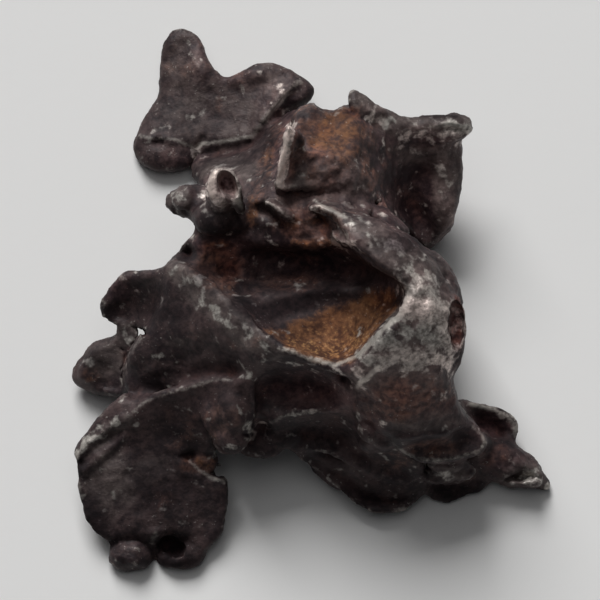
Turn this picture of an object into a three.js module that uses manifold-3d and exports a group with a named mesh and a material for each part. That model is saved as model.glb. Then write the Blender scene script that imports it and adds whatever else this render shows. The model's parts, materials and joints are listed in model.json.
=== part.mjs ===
// A pallasite meteorite whose olivine has weathered out: one piece of nickel-iron, all thin leaves,
// cusps and horns between the empty moulds of the grains.
//
// Millimetres, +Z up. The metal is laid out in its own broad plane, with x across, y along and z out
// of the broad side, and then leaned back until it lies as it rests.

import * as THREE from "three";
import { SimplifyModifier } from "three/addons/modifiers/SimplifyModifier.js";
import { mergeVertices } from "three/addons/utils/BufferGeometryUtils.js";
import Module from "manifold-3d";

const wasm = await Module();
wasm.setup();

// ---------------------------------------------------------------- driving dimensions

// How far the broad plane leans back from lying flat, and how high its middle stands over the floor.
const LEAN = THREE.MathUtils.degToRad(15);
const LIFT = 8.5;

// The length aimed at for one facet, the triangles left in the finished skin, and the distance within
// which corners count as one.
const FACET = 0.9;
const TRIANGLES = 9600;
const WELD = 1e-4;

// A triangle's corners, and the numbers that place a point.
const CORNERS = 3;
const AXES = 3;

// A ball's facets for each of its radii, and the coarsest and finest ball.
const BALL_SHARE = 1.05;
const BALL_DETAIL = { least: 2, most: 8 };

// Points round a leaf, a mould and a ridge, from the smallest to the largest ones.
const LEAF_SECTORS = { fine: 56, plain: 36, small: 32, tight: 28, least: 26 };
const MOULD_SECTORS = { fine: 48, plain: 32, small: 24, least: 20 };
const RIDGE_SECTORS = 12;

// Where the rings of a leaf lie between its middle and its rim, and how late it thins to its edge.
const LEAF_REACHES = [0, 0.25, 0.5, 0.72, 0.88, 0.97, 1];
const LEAF_THINNING = 6;

// The rings of a mould: angles up from its floor, then the flare above its mouth as shares of the
// mouth's width and of the depth.
const MOULD_ANGLES = [0, 20, 40, 58, 74, 86];
const MOULD_FLARE = [
  { reach: 1.04, sink: -0.12 },
  { reach: 1.3, sink: -0.9 },
  { reach: 0, sink: -0.9 },
];

// The rounded end of a ridge, its rings between two given points, and its length for each ring.
const CAP_ANGLES = [0, 30, 60];
const RIDGE_LEAST = 3;
const RIDGE_STEP = FACET * 1.1;

// The block below the floor that cuts the resting faces flat.
const FLOOR_BLOCK = 80;

// ---------------------------------------------------------------- solids

const vector = ([x, y, z]) => new THREE.Vector3(x, y, z);

// A closed solid from a closed skin whose seams are still open.
function solidOf(geometry) {
  geometry.deleteAttribute("normal");
  geometry.deleteAttribute("uv");
  const merged = mergeVertices(geometry, WELD);
  const corners = merged.index.array;
  const triangles = [];
  for (let i = 0; i < corners.length; i += CORNERS) {
    const [a, b, c] = corners.slice(i, i + CORNERS);
    if (a !== b && b !== c && c !== a) {
      triangles.push(a, b, c);
    }
  }
  const vertProperties = merged.attributes.position.array;
  const triVerts = new Uint32Array(triangles);
  return new wasm.Manifold(new wasm.Mesh({ numProp: AXES, vertProperties, triVerts }));
}

// The skin of a solid.
function geometryOf(solid) {
  const mesh = solid.getMesh();
  const geometry = new THREE.BufferGeometry();
  geometry.setAttribute("position", new THREE.BufferAttribute(mesh.vertProperties, AXES));
  geometry.setIndex(new THREE.BufferAttribute(mesh.triVerts, 1));
  return geometry;
}

const join = (solids) => solids.reduce((whole, piece) => whole.add(piece));
const cut = (solid, cutters) => cutters.reduce((rest, cutter) => rest.subtract(cutter), solid);

// A rounded lump, or the mould of a grain where it is cut away. The turn is in degrees.
function lump(centre, radii, turn = [0, 0, 0]) {
  const wanted = Math.round((BALL_SHARE * Math.max(...radii)) / FACET) - 1;
  const detail = THREE.MathUtils.clamp(wanted, BALL_DETAIL.least, BALL_DETAIL.most);
  const ball = new THREE.IcosahedronGeometry(1, detail);
  ball.scale(...radii);
  const angles = turn.map(THREE.MathUtils.degToRad);
  ball.applyMatrix4(new THREE.Matrix4().makeRotationFromEuler(new THREE.Euler(...angles)));
  ball.translate(...centre);
  return solidOf(ball);
}

// A leaf of metal with a smooth edge through the rim points. Its middle is drawn to a point of its
// own, so the leaf is a dish or a dome, and its rim is rounded over.
function leaf(rim, middle, thick, sectors = LEAF_SECTORS.plain) {
  const outline = new THREE.CatmullRomCurve3(rim.map(vector), true, "centripetal");
  const edge = outline.getSpacedPoints(sectors);
  const centre = vector(middle);
  const facing = new THREE.Vector3();
  edge.forEach((point, i) => {
    const next = edge[(i + 1) % edge.length];
    facing.add(point.clone().sub(centre).cross(next.clone().sub(centre)));
  });
  facing.normalize();
  const half = (reach) => (thick / 2) * Math.sqrt(1 - reach ** LEAF_THINNING);
  const under = LEAF_REACHES.map((reach) => new THREE.Vector2(reach, -half(reach)));
  const inward = LEAF_REACHES.slice(0, -1).reverse();
  const over = inward.map((reach) => new THREE.Vector2(reach, half(reach)));
  const profile = [...under, ...over];
  const geometry = new THREE.LatheGeometry(profile, sectors);
  const place = geometry.attributes.position;
  for (let i = 0; i <= sectors; i += 1) {
    const out = edge[i % sectors].clone().sub(centre);
    const rise = out.dot(facing);
    const flat = out.addScaledVector(facing, -rise);
    profile.forEach((step, j) => {
      const point = centre.clone().addScaledVector(flat, step.x);
      point.addScaledVector(facing, rise * step.x ** 2 + step.y);
      place.setXYZ(i * profile.length + j, point.x, point.y, point.z);
    });
  }
  return solidOf(geometry);
}

// The mould that a grain left: a bag whose mouth is a smooth closed line through the rim points and
// whose floor reaches the deepest point. It flares a little above its mouth, so that it cuts clean.
function mould(rim, deepest, sectors = MOULD_SECTORS.plain) {
  const outline = new THREE.CatmullRomCurve3(rim.map(vector), true, "centripetal");
  const mouth = outline.getSpacedPoints(sectors);
  mouth.pop();
  const centre = new THREE.Vector3();
  mouth.forEach((point) => centre.add(point));
  centre.divideScalar(sectors);
  const down = vector(deepest).sub(centre);
  const turn = new THREE.Vector3().crossVectors(
    mouth[0].clone().sub(centre),
    mouth[Math.round(sectors / 4)].clone().sub(centre),
  );
  if (turn.dot(down) > 0) {
    mouth.reverse();
  }
  const angles = MOULD_ANGLES.map(THREE.MathUtils.degToRad);
  const bowl = angles.map((angle) => ({ reach: Math.sin(angle), sink: Math.cos(angle) }));
  const rings = [...bowl, ...MOULD_FLARE];
  const profile = rings.map((ring, j) => new THREE.Vector2(ring.reach, j));
  const geometry = new THREE.LatheGeometry(profile, sectors);
  const place = geometry.attributes.position;
  for (let i = 0; i <= sectors; i += 1) {
    const out = mouth[i % sectors].clone().sub(centre);
    rings.forEach((ring, j) => {
      const point = centre.clone().addScaledVector(out, ring.reach);
      point.addScaledVector(down, ring.sink);
      place.setXYZ(i * rings.length + j, point.x, point.y, point.z);
    });
  }
  return solidOf(geometry);
}

// A rounded ridge or horn along a smooth line. Each point is [x, y, z, radius].
function ridge(points) {
  const line = new THREE.CatmullRomCurve3(points.map(vector));
  const last = points.length - 1;
  const radiusAt = (t) => {
    const i = Math.min(Math.floor(t * last), last - 1);
    return THREE.MathUtils.lerp(points[i][3], points[i + 1][3], t * last - i);
  };
  const steps = Math.max(RIDGE_LEAST * last, Math.round(line.getLength() / RIDGE_STEP));
  const caps = CAP_ANGLES.map(THREE.MathUtils.degToRad);
  const rings = caps.map((angle) => ({ t: 0, back: -Math.cos(angle), wide: Math.sin(angle) }));
  for (let i = 0; i <= steps; i += 1) {
    rings.push({ t: i / steps, back: 0, wide: 1 });
  }
  caps.reverse().forEach((angle) => {
    rings.push({ t: 1, back: Math.cos(angle), wide: Math.sin(angle) });
  });
  const profile = rings.map((ring, i) => new THREE.Vector2(ring.wide, i));
  const geometry = new THREE.LatheGeometry(profile, RIDGE_SECTORS);
  const place = geometry.attributes.position;
  const front = new THREE.Vector3(0, 0, 1);
  rings.forEach((ring, j) => {
    const radius = radiusAt(ring.t);
    const along = line.getTangent(ring.t);
    const across = new THREE.Vector3().crossVectors(front, along).normalize();
    const outward = new THREE.Vector3().crossVectors(along, across);
    const middle = line.getPoint(ring.t).addScaledVector(along, radius * ring.back);
    for (let i = 0; i <= RIDGE_SECTORS; i += 1) {
      const angle = (2 * Math.PI * (i % RIDGE_SECTORS)) / RIDGE_SECTORS;
      const point = middle.clone().addScaledVector(across, Math.cos(angle) * radius * ring.wide);
      point.addScaledVector(outward, Math.sin(angle) * radius * ring.wide);
      place.setXYZ(i * rings.length + j, point.x, point.y, point.z);
    }
  });
  return solidOf(geometry);
}

// ---------------------------------------------------------------- the high ground

// The crest is a crater: a hill with the great pocket sunk in its top. The hill is built up from
// lumps, a ridge along its far side and a dished cap that makes the crater's rim.
const hill = join([
  lump([4.2, -0.8, -1.6], [7.0, 5.4, 7.0]),
  lump([1.0, 5.4, -3.4], [5.2, 4.8, 7.0]),
  lump([0.6, -5.8, -2.2], [5.4, 3.9, 5.2]),
  lump([8.4, -2.6, 2.8], [2.2, 2.2, 2.0]),
  ridge([
    [0.2, 5.0, 1.6, 1.9],
    [3.2, 4.2, 3.4, 2.0],
    [6.4, 2.8, 3.6, 2.1],
    [9.0, 0.4, 2.6, 2.2],
    [9.4, -3.2, 0.8, 2.0],
  ]),
  leaf(
    [
      [1.2, 6.7, 6.0],
      [3.2, 5.7, 6.3],
      [4.8, 5.4, 6.4],
      [7.0, 4.6, 6.1],
      [8.8, 3.0, 5.6],
      [10.4, 1.1, 5.0],
      [11.4, -0.4, 4.4],
      [11.6, -2.9, 3.3],
      [11.2, -4.7, 2.6],
      [10.2, -6.2, 2.2],
      [7.6, -7.2, 2.4],
      [5.0, -6.8, 2.8],
      [2.8, -5.4, 3.6],
      [0.4, -4.5, 3.9],
      [-1.1, -3.8, 3.8],
      [-2.9, -2.5, 3.4],
      [-4.7, -0.6, 2.6],
      [-3.8, 2.0, 2.8],
      [-1.2, 4.6, 4.0],
    ],
    [4.2, -0.4, 6.6],
    3.4,
    LEAF_SECTORS.fine,
  ),
]);

// Two thin blades stand on the crater's far edge, one on each side of the slot between them.
const blades = join([
  ridge([
    [-3.4, 6.6, 3.4, 0.35],
    [-2.4, 6.7, 4.1, 0.4],
    [-1.5, 6.2, 4.7, 0.42],
    [-0.5, 5.5, 5.0, 0.4],
    [0.4, 4.6, 5.0, 0.5],
  ]),
  ridge([
    [0.6, 6.9, 5.2, 0.35],
    [1.4, 6.7, 5.9, 0.42],
    [2.2, 6.1, 6.3, 0.5],
    [3.4, 5.6, 6.4, 0.55],
    [5.0, 5.2, 6.3, 0.6],
  ]),
]);

// Two grains lay side by side here, and their moulds meet at a ledge across the floor.
const greatPocket = [
  mould(
    [
      [-4.6, -0.2, 3.4],
      [-2.9, -2.05, 4.2],
      [-1.1, -3.3, 4.8],
      [0.5, -4.0, 5.0],
      [2.5, -4.5, 5.0],
      [4.1, -3.75, 5.6],
      [5.3, -2.3, 6.4],
      [6.9, -0.8, 7.0],
      [7.4, 0.6, 7.2],
      [6.0, 1.6, 7.0],
      [3.0, 1.8, 6.0],
      [-0.2, 1.4, 4.8],
      [-2.8, 1.0, 3.6],
    ],
    [2.2, -0.4, 1.0],
    MOULD_SECTORS.fine,
  ),
  mould(
    [
      [-4.6, -0.2, 3.2],
      [-2.0, -0.6, 4.2],
      [1.0, -0.6, 5.4],
      [4.6, -0.4, 6.6],
      [7.2, 0.2, 7.2],
      [7.4, 0.9, 7.2],
      [6.3, 1.8, 7.2],
      [4.7, 2.9, 7.2],
      [3.4, 3.9, 6.8],
      [1.9, 3.9, 5.6],
      [0.0, 3.9, 4.8],
      [-2.5, 3.9, 3.6],
      [-4.0, 2.8, 2.8],
      [-4.9, 1.2, 2.8],
    ],
    [0.4, 2.6, -1.6],
    MOULD_SECTORS.fine,
  ),
];

// ---------------------------------------------------------------- left side

// The broad smooth slope that falls from the crater to the left, with a worn crest along its top.
const shoulder = join([
  leaf(
    [
      [-8.8, 2.7, -0.8],
      [-6.0, 0.5, 1.6],
      [-3.0, -2.1, 3.6],
      [-1.2, -3.6, 4.2],
      [-2.2, -5.2, 3.0],
      [-4.2, -5.9, 0.8],
      [-7.4, -6.0, -1.6],
      [-10.5, -6.0, -2.8],
      [-12.3, -4.9, -3.4],
      [-11.2, -2.8, -2.4],
      [-10.2, -0.6, -2.0],
    ],
    [-6.6, -2.6, 1.2],
    3.0,
  ),
  ridge([
    [-8.5, 2.4, -0.6, 0.35],
    [-6.6, 0.7, 1.2, 0.6],
    [-4.6, -0.9, 2.7, 0.6],
    [-2.6, -2.5, 3.8, 0.5],
    [-0.8, -3.9, 4.3, 0.4],
  ]),
]);

// The mass under the shoulder, the small hook on its foot and the curtain that hangs beside it.
const leftBody = join([
  lump([-6.2, -3.4, -3.4], [4.9, 4.2, 4.2]),
  ridge([
    [-7.4, 0.8, -1.2, 1.6],
    [-4.6, -1.2, 0.6, 2.0],
    [-2.2, -3.0, 1.8, 2.0],
    [0.4, -4.6, 2.2, 1.9],
  ]),
  lump([-4.8, 2.0, -3.0], [4.4, 3.8, 5.4]),
  lump([-4.6, -7.4, -0.6], [1.7, 2.6, 2.8], [20, 0, 10]),
  lump([-3.4, -5.2, 0.4], [2.2, 2.4, 2.0]),
  ridge([
    [-5.6, -8.6, 0.2, 0.5],
    [-5.7, -9.7, -0.1, 0.55],
    [-5.0, -10.3, -0.2, 0.55],
    [-4.2, -10.1, -0.1, 0.5],
    [-3.7, -9.3, 0.3, 0.45],
  ]),
  leaf(
    [
      [-5.9, -9.6, -0.9],
      [-4.8, -10.6, -1.3],
      [-3.4, -10.7, -1.6],
      [-2.5, -11.0, -1.8],
      [-1.8, -10.7, -2.0],
      [-0.9, -9.9, -2.0],
      [-0.8, -8.4, -1.0],
      [-3.0, -7.6, 0.0],
      [-5.2, -7.8, -0.2],
    ],
    [-3.2, -9.3, -2.0],
    1.5,
    LEAF_SECTORS.tight,
  ),
]);

// The thin arm that reaches out to the left.
const leftArm = leaf(
  [
    [-8.8, 2.6, -0.9],
    [-10.4, 2.0, -1.6],
    [-12.3, 1.9, -2.4],
    [-13.5, 0.8, -3.0],
    [-14.2, -0.8, -3.4],
    [-13.5, -1.7, -3.4],
    [-11.6, -1.9, -3.0],
    [-9.4, -2.4, -1.8],
    [-7.4, -1.4, 0.2],
    [-7.4, 0.8, 0.2],
  ],
  [-11.0, -0.1, -4.0],
  1.5,
);

// The flat ear below the arm, and the short strut that ties the two together.
const leftLobe = leaf(
  [
    [-13.0, -2.5, -5.3],
    [-14.7, -3.2, -5.9],
    [-15.8, -4.5, -6.2],
    [-16.0, -5.6, -6.2],
    [-14.8, -6.5, -5.8],
    [-12.8, -6.9, -4.8],
    [-11.0, -6.6, -3.4],
    [-10.6, -4.4, -3.4],
    [-11.6, -2.9, -4.4],
  ],
  [-13.4, -4.8, -5.4],
  1.8,
);

const leftStrut = ridge([
  [-12.2, -4.2, -4.9, 0.8],
  [-12.2, -2.6, -4.7, 0.65],
  [-12.1, -1.4, -4.5, 0.7],
]);

// The long flat foot at the near left, with a rounded outer edge and two toes.
const paddle = join([
  leaf(
    [
      [-12.0, -8.1, -1.1],
      [-14.1, -9.4, -1.7],
      [-15.7, -10.9, -2.1],
      [-15.8, -12.4, -2.3],
      [-15.4, -14.6, -2.6],
      [-14.8, -16.0, -2.8],
      [-13.4, -17.2, -3.0],
      [-11.4, -17.6, -3.0],
      [-9.9, -17.2, -3.0],
      [-9.0, -16.7, -3.0],
      [-7.9, -17.0, -3.1],
      [-6.8, -17.5, -3.1],
      [-5.4, -16.6, -3.1],
      [-4.9, -14.4, -2.8],
      [-5.1, -12.2, -2.4],
      [-5.8, -10.8, -2.1],
      [-5.9, -8.2, -0.8],
      [-5.6, -5.9, 0.6],
      [-8.0, -6.1, 0.3],
      [-10.6, -6.9, -0.3],
    ],
    [-10.0, -12.4, -3.2],
    1.5,
    LEAF_SECTORS.fine,
  ),
  ridge([
    [-11.2, -6.9, -1.8, 1.1],
    [-12.7, -7.9, -1.9, 0.85],
    [-14.2, -9.2, -2.4, 0.75],
    [-15.4, -10.8, -2.8, 0.6],
  ]),
  lump([-12.0, -17.9, -3.2], [1.6, 1.3, 1.1]),
  ridge([
    [-9.9, -17.6, -3.3, 0.55],
    [-9.5, -18.3, -3.4, 0.6],
    [-8.4, -18.4, -3.4, 0.62],
    [-7.4, -18.2, -3.4, 0.65],
    [-7.2, -17.2, -3.3, 0.75],
  ]),
]);

// ---------------------------------------------------------------- lower right

// The tongue that hangs from the crater's near right side.
const tongue = leaf(
  [
    [5.4, -9.2, 1.8],
    [6.6, -10.3, 1.1],
    [8.2, -11.2, 0.4],
    [10.0, -11.4, -0.4],
    [12.0, -10.9, -1.4],
    [13.2, -10.2, -2.0],
    [12.9, -9.4, -1.8],
    [11.6, -8.1, -0.6],
    [10.7, -6.2, 1.2],
    [10.2, -4.0, 3.2],
    [7.2, -3.2, 4.4],
    [4.6, -5.2, 3.8],
    [4.4, -7.4, 2.6],
  ],
  [8.2, -7.6, 2.4],
  2.2,
);

// Overlapping lobes at the near edge: two large ones in the middle and a small pair at the right.
const lowerLobes = join([
  leaf(
    [
      [-0.9, -10.2, -1.8],
      [0.7, -11.9, -2.4],
      [2.5, -13.2, -2.9],
      [4.1, -14.6, -3.2],
      [6.4, -15.1, -3.5],
      [8.3, -14.3, -3.6],
      [9.0, -12.8, -3.4],
      [7.6, -10.4, -1.8],
      [4.0, -8.0, -0.2],
      [0.4, -7.8, 0.0],
    ],
    [4.2, -11.2, -3.4],
    1.5,
  ),
  leaf(
    [
      [-1.6, -8.8, 0.6],
      [0.3, -10.3, -0.6],
      [3.0, -11.1, -1.3],
      [5.6, -12.4, -2.0],
      [8.4, -12.9, -2.6],
      [8.8, -11.4, -1.6],
      [7.2, -9.2, 0.2],
      [4.2, -7.6, 1.4],
      [1.0, -7.4, 1.6],
    ],
    [4.2, -10.0, -1.6],
    1.2,
  ),
  leaf(
    [
      [7.9, -12.9, -4.4],
      [9.2, -14.0, -4.8],
      [10.4, -14.3, -5.0],
      [11.9, -13.7, -5.0],
      [13.3, -12.9, -4.9],
      [12.4, -11.6, -4.4],
      [9.6, -10.8, -3.6],
    ],
    [10.5, -12.5, -5.0],
    2.0,
    LEAF_SECTORS.least,
  ),
  leaf(
    [
      [8.7, -12.5, -3.2],
      [10.2, -12.9, -3.5],
      [11.5, -12.7, -3.7],
      [12.1, -11.9, -3.6],
      [11.6, -10.9, -3.0],
      [9.4, -10.8, -2.2],
    ],
    [10.4, -11.9, -3.2],
    1.0,
    LEAF_SECTORS.tight,
  ),
]);

// The cup at the near right corner and the curled tip beside it.
const farCurl = join([
  leaf(
    [
      [10.8, -7.0, -3.4],
      [12.8, -7.3, -4.0],
      [14.6, -8.0, -4.5],
      [15.5, -9.1, -4.8],
      [15.0, -10.2, -4.8],
      [13.4, -11.2, -4.4],
      [11.4, -10.6, -3.6],
      [10.4, -8.6, -3.0],
    ],
    [13.0, -9.0, -5.0],
    1.5,
    LEAF_SECTORS.least,
  ),
  ridge([
    [12.4, -10.8, -4.0, 1.3],
    [14.2, -11.4, -4.4, 1.5],
    [15.7, -12.1, -4.7, 1.3],
    [16.7, -12.5, -4.8, 0.8],
    [17.6, -13.1, -4.9, 0.3],
  ]),
]);

// ---------------------------------------------------------------- upper part

// A leaf that ends in a small ring with an open eye.
const eyelet = join([
  leaf(
    [
      [-6.3, 6.9, 2.2],
      [-7.5, 6.0, 0.6],
      [-7.4, 5.0, -0.8],
      [-6.4, 4.2, -1.6],
      [-4.6, 4.2, -1.6],
      [-3.7, 5.2, -0.4],
      [-3.9, 6.2, 1.4],
      [-4.6, 6.9, 2.4],
      [-5.5, 7.2, 2.6],
    ],
    [-5.6, 5.6, -1.4],
    1.2,
    LEAF_SECTORS.small,
  ),
  ridge([
    [-5.9, 6.3, 1.8, 0.5],
    [-6.15, 7.4, 2.6, 0.45],
    [-5.95, 8.4, 3.1, 0.42],
    [-5.35, 8.85, 3.3, 0.4],
    [-4.8, 8.5, 3.2, 0.36],
    [-4.6, 7.7, 2.9, 0.36],
    [-4.8, 6.6, 2.2, 0.45],
  ]),
]);

// A blunt stub behind the eyelet.
const stub = ridge([
  [-5.8, 6.3, -0.8, 1.3],
  [-7.2, 6.8, -1.5, 1.25],
  [-8.4, 6.85, -2.1, 1.05],
]);

// The tall spike, with the thin fin and the bank it grows out of.
const spike = join([
  lump([1.8, 8.6, 0.2], [2.8, 1.9, 2.0]),
  ridge([
    [-1.3, 7.6, 2.4, 0.5],
    [-1.1, 9.4, 4.0, 0.5],
    [-0.75, 11.2, 5.4, 0.42],
    [-0.65, 12.1, 6.0, 0.32],
  ]),
  leaf(
    [
      [-1.5, 8.1, 2.8],
      [-1.1, 9.6, 4.0],
      [-0.5, 11.2, 5.0],
      [0.2, 10.3, 3.8],
      [1.8, 9.9, 2.6],
      [3.8, 10.2, 1.4],
      [4.8, 9.0, 0.8],
      [4.2, 7.7, 1.0],
      [1.4, 7.8, 2.0],
    ],
    [1.4, 8.9, 2.0],
    1.3,
    LEAF_SECTORS.small,
  ),
]);

// The wall between the spike and the wing.
const backWall = lump([1.9, 10.8, -2.6], [3.5, 3.1, 4.4]);

// The wing: a great leaf that falls away to the right, under a thick rolled rim with a horn.
const wing = join([
  leaf(
    [
      [3.5, 13.6, -3.0],
      [5.6, 12.9, -3.4],
      [8.0, 12.1, -4.0],
      [10.8, 12.0, -4.4],
      [11.4, 9.6, -5.4],
      [11.1, 6.6, -6.8],
      [10.2, 4.6, -8.2],
      [8.0, 3.4, -8.6],
      [5.6, 4.6, -6.0],
      [4.4, 8.0, -3.4],
      [3.6, 11.0, -2.6],
    ],
    [7.2, 8.2, -8.4],
    2.6,
  ),
  ridge([
    [3.75, 14.4, -2.0, 0.3],
    [4.5, 13.3, -2.3, 0.85],
    [5.9, 12.6, -2.7, 0.75],
    [7.6, 12.1, -3.1, 0.65],
    [9.2, 12.2, -3.4, 0.8],
    [10.7, 12.3, -3.6, 0.95],
    [11.3, 12.2, -3.7, 0.9],
  ]),
  ridge([
    [10.2, 11.4, -4.8, 1.2],
    [10.1, 8.6, -5.6, 1.2],
    [9.7, 6.0, -7.0, 1.3],
    [8.8, 4.8, -8.2, 1.2],
  ]),
]);

// The flat plate at the far end, low over the floor, with a worn ridge along its inner edge.
const farPlate = join([
  leaf(
    [
      [1.1, 15.1, -10.2],
      [0.6, 14.1, -9.8],
      [-1.6, 13.8, -9.4],
      [-3.3, 11.8, -9.6],
      [-6.0, 11.2, -10.2],
      [-8.0, 11.2, -10.9],
      [-9.8, 11.4, -11.0],
      [-11.7, 11.8, -11.4],
      [-11.2, 13.0, -11.6],
      [-10.2, 14.6, -12.0],
      [-10.0, 16.8, -11.8],
      [-9.7, 18.7, -11.7],
      [-8.4, 19.7, -11.5],
      [-7.1, 18.6, -11.2],
      [-6.5, 16.8, -10.8],
      [-5.2, 15.8, -10.5],
      [-4.3, 16.3, -10.4],
      [-2.6, 16.9, -10.3],
      [-0.6, 16.4, -10.3],
    ],
    [-5.8, 13.7, -10.9],
    1.6,
    LEAF_SECTORS.fine,
  ),
  ridge([
    [-0.2, 14.8, -11.1, 1.1],
    [-2.3, 13.0, -10.8, 0.95],
    [-3.8, 11.8, -10.8, 0.95],
    [-6.2, 11.3, -11.3, 0.95],
    [-8.2, 11.0, -11.6, 0.9],
  ]),
  lump([-10.1, 10.9, -11.2], [1.9, 1.7, 1.6]),
]);

// The leaf that carries the far plate.
const farBridge = leaf(
  [
    [-7.4, 9.9, -12.0],
    [-5.0, 10.6, -11.6],
    [-2.4, 11.6, -10.8],
    [-0.4, 13.2, -9.4],
    [1.4, 13.0, -5.4],
    [0.6, 9.0, -2.4],
    [-2.6, 7.4, -2.0],
    [-5.6, 7.2, -4.0],
    [-7.2, 8.2, -8.0],
  ],
  [-3.4, 9.4, -7.8],
  2.2,
  LEAF_SECTORS.tight,
);

// ---------------------------------------------------------------- moulds of the grains

// On the broad side: the valley under the shoulder, then the scoop in front of the crater, the bowl
// behind the spike, the hollow under the eyelet, the two slots and the groove behind the blades.
const frontMoulds = [
  lump([-8.8, -4.7, 4.4], [7.4, 2.5, 6.0], [8, 18, 9]),
  mould(
    [
      [-2.6, -4.6, 3.6],
      [-0.4, -4.3, 4.2],
      [1.6, -4.8, 4.2],
      [3.3, -5.2, 3.8],
      [3.9, -6.2, 3.4],
      [3.2, -7.6, 2.6],
      [0.9, -7.7, 2.4],
      [-1.2, -8.1, 2.0],
      [-2.2, -8.5, 1.8],
      [-3.1, -7.4, 2.2],
      [-3.3, -5.8, 3.0],
    ],
    [0.2, -5.4, 0.2],
  ),
  mould(
    [
      [0.4, 12.9, 0.4],
      [1.6, 13.1, 0.4],
      [3.0, 12.9, 0.2],
      [3.9, 12.0, 0.4],
      [4.0, 10.4, 1.0],
      [3.0, 9.9, 1.6],
      [1.0, 10.2, 1.8],
      [0.0, 11.2, 1.2],
    ],
    [2.1, 11.3, -0.7],
    MOULD_SECTORS.least,
  ),
  mould(
    [
      [-8.3, 3.1, -0.4],
      [-7.3, 3.9, -0.2],
      [-5.8, 4.4, 0.8],
      [-4.0, 4.6, 1.8],
      [-2.4, 4.0, 2.6],
      [-2.0, 2.0, 2.6],
      [-3.0, 0.6, 2.6],
      [-4.5, 0.5, 2.4],
      [-6.0, 1.4, 1.6],
      [-7.2, 2.3, 0.4],
    ],
    [-4.9, 2.7, -0.9],
    MOULD_SECTORS.small,
  ),
  mould(
    [
      [-3.2, 6.0, 3.6],
      [-2.2, 6.2, 4.2],
      [-1.2, 5.7, 4.8],
      [-0.4, 4.9, 5.0],
      [0.1, 3.8, 4.6],
      [-0.6, 2.6, 3.8],
      [-2.4, 2.8, 3.2],
      [-3.6, 4.4, 3.0],
    ],
    [-1.5, 4.9, 1.2],
    MOULD_SECTORS.least,
  ),
  mould(
    [
      [0.8, 6.2, 5.6],
      [1.7, 6.0, 6.0],
      [2.5, 5.4, 6.4],
      [3.0, 4.6, 6.4],
      [3.2, 3.4, 6.0],
      [1.8, 2.8, 5.0],
      [0.6, 3.2, 4.6],
      [0.2, 5.0, 5.0],
    ],
    [1.6, 4.9, 2.4],
    MOULD_SECTORS.least,
  ),
  mould(
    [
      [-2.9, 7.4, 4.2],
      [-0.6, 7.7, 4.8],
      [2.0, 7.6, 5.0],
      [4.3, 7.4, 5.0],
      [5.2, 6.3, 5.6],
      [3.4, 6.2, 6.0],
      [1.2, 7.0, 6.0],
      [-0.6, 6.1, 5.2],
      [-2.4, 6.9, 4.6],
    ],
    [1.4, 7.1, 3.2],
    MOULD_SECTORS.least,
  ),
];

// The moulds on the hidden side leave it as hollow as the front.
const hiddenMoulds = [
  lump([10.9, 4.6, -1.0], [3.1, 2.8, 4.4]),
  lump([12.5, -0.6, -0.4], [2.9, 2.5, 3.2]),
  lump([11.8, -1.8, -5.9], [3.7, 3.3, 3.2]),
  lump([10.4, -5.8, -2.6], [3.0, 2.6, 3.4]),
  lump([7.4, 6.8, -3.6], [3.6, 3.0, 5.0]),
  lump([7.6, 2.4, -9.0], [3.6, 3.0, 3.8]),
  lump([4.2, -2.8, -8.8], [3.6, 3.0, 4.4]),
  lump([5.0, -8.2, -6.0], [3.4, 2.8, 3.0]),
  lump([-0.8, -7.0, -7.8], [3.4, 2.8, 4.0]),
  lump([-1.6, -1.6, -9.2], [3.0, 2.6, 4.2]),
  lump([-6.4, -4.2, -8.6], [3.4, 2.8, 3.6]),
  lump([-10.6, -5.4, -6.2], [2.9, 2.6, 2.7]),
  lump([-10.2, 0.2, -6.2], [3.4, 2.8, 3.2]),
  lump([-5.8, 1.8, -9.6], [3.4, 3.0, 3.8]),
  lump([-9.2, 4.8, -3.8], [3.2, 2.3, 3.2]),
  lump([-4.8, 7.4, -6.6], [3.2, 3.0, 4.4]),
  lump([0.4, 4.8, -10.8], [3.8, 3.2, 4.4]),
  lump([5.6, 10.4, -5.8], [2.8, 2.8, 3.8]),
  lump([0.8, 12.2, -7.4], [3.2, 2.8, 3.8]),
  lump([2.8, 15.6, -3.8], [2.9, 2.0, 3.2]),
  lump([-2.6, 11.8, -2.0], [2.4, 2.6, 3.2]),
  lump([-7.4, -8.8, -3.0], [2.6, 2.6, 3.2]),
  lump([-4.6, -11.2, -4.0], [2.4, 2.0, 2.4]),
];

// ---------------------------------------------------------------- the whole

// The high ground is hollowed first, so that the moulds never cut the thin leaves around it.
const high = cut(join([hill, blades, shoulder, leftBody, eyelet, spike, backWall]), [
  ...greatPocket,
  ...frontMoulds,
  ...hiddenMoulds,
]);
const laidOut = join([
  high,
  leftArm,
  leftLobe,
  leftStrut,
  paddle,
  tongue,
  lowerLobes,
  farCurl,
  stub,
  wing,
  farBridge,
  farPlate,
]);

const leaned = geometryOf(laidOut);
leaned.rotateX(LEAN);
leaned.translate(0, 0, LIFT);

const ground = new THREE.BoxGeometry(FLOOR_BLOCK, FLOOR_BLOCK, FLOOR_BLOCK);
ground.translate(0, 0, -FLOOR_BLOCK / 2);
const fine = geometryOf(solidOf(leaned).subtract(solidOf(ground)));

// A closed skin has half as many corner points as triangles.
const spare = fine.attributes.position.count - TRIANGLES / 2;
const coarse = solidOf(await new SimplifyModifier().modify(fine, spare));

// Small gaps sealed in between the lumps are solid metal, so only the outer skin is kept.
const standing = geometryOf(coarse.decompose().find((piece) => piece.volume() > 0));
standing.computeBoundingBox();
const middle = standing.boundingBox.getCenter(new THREE.Vector3());
standing.translate(-middle.x, -middle.y, -standing.boundingBox.min.z);

const iron = new THREE.MeshStandardMaterial({ color: 0x3a3330, roughness: 0.45, metalness: 0.9 });
const skeleton = new THREE.Mesh(standing, iron);
skeleton.name = "metal_skeleton";

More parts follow.
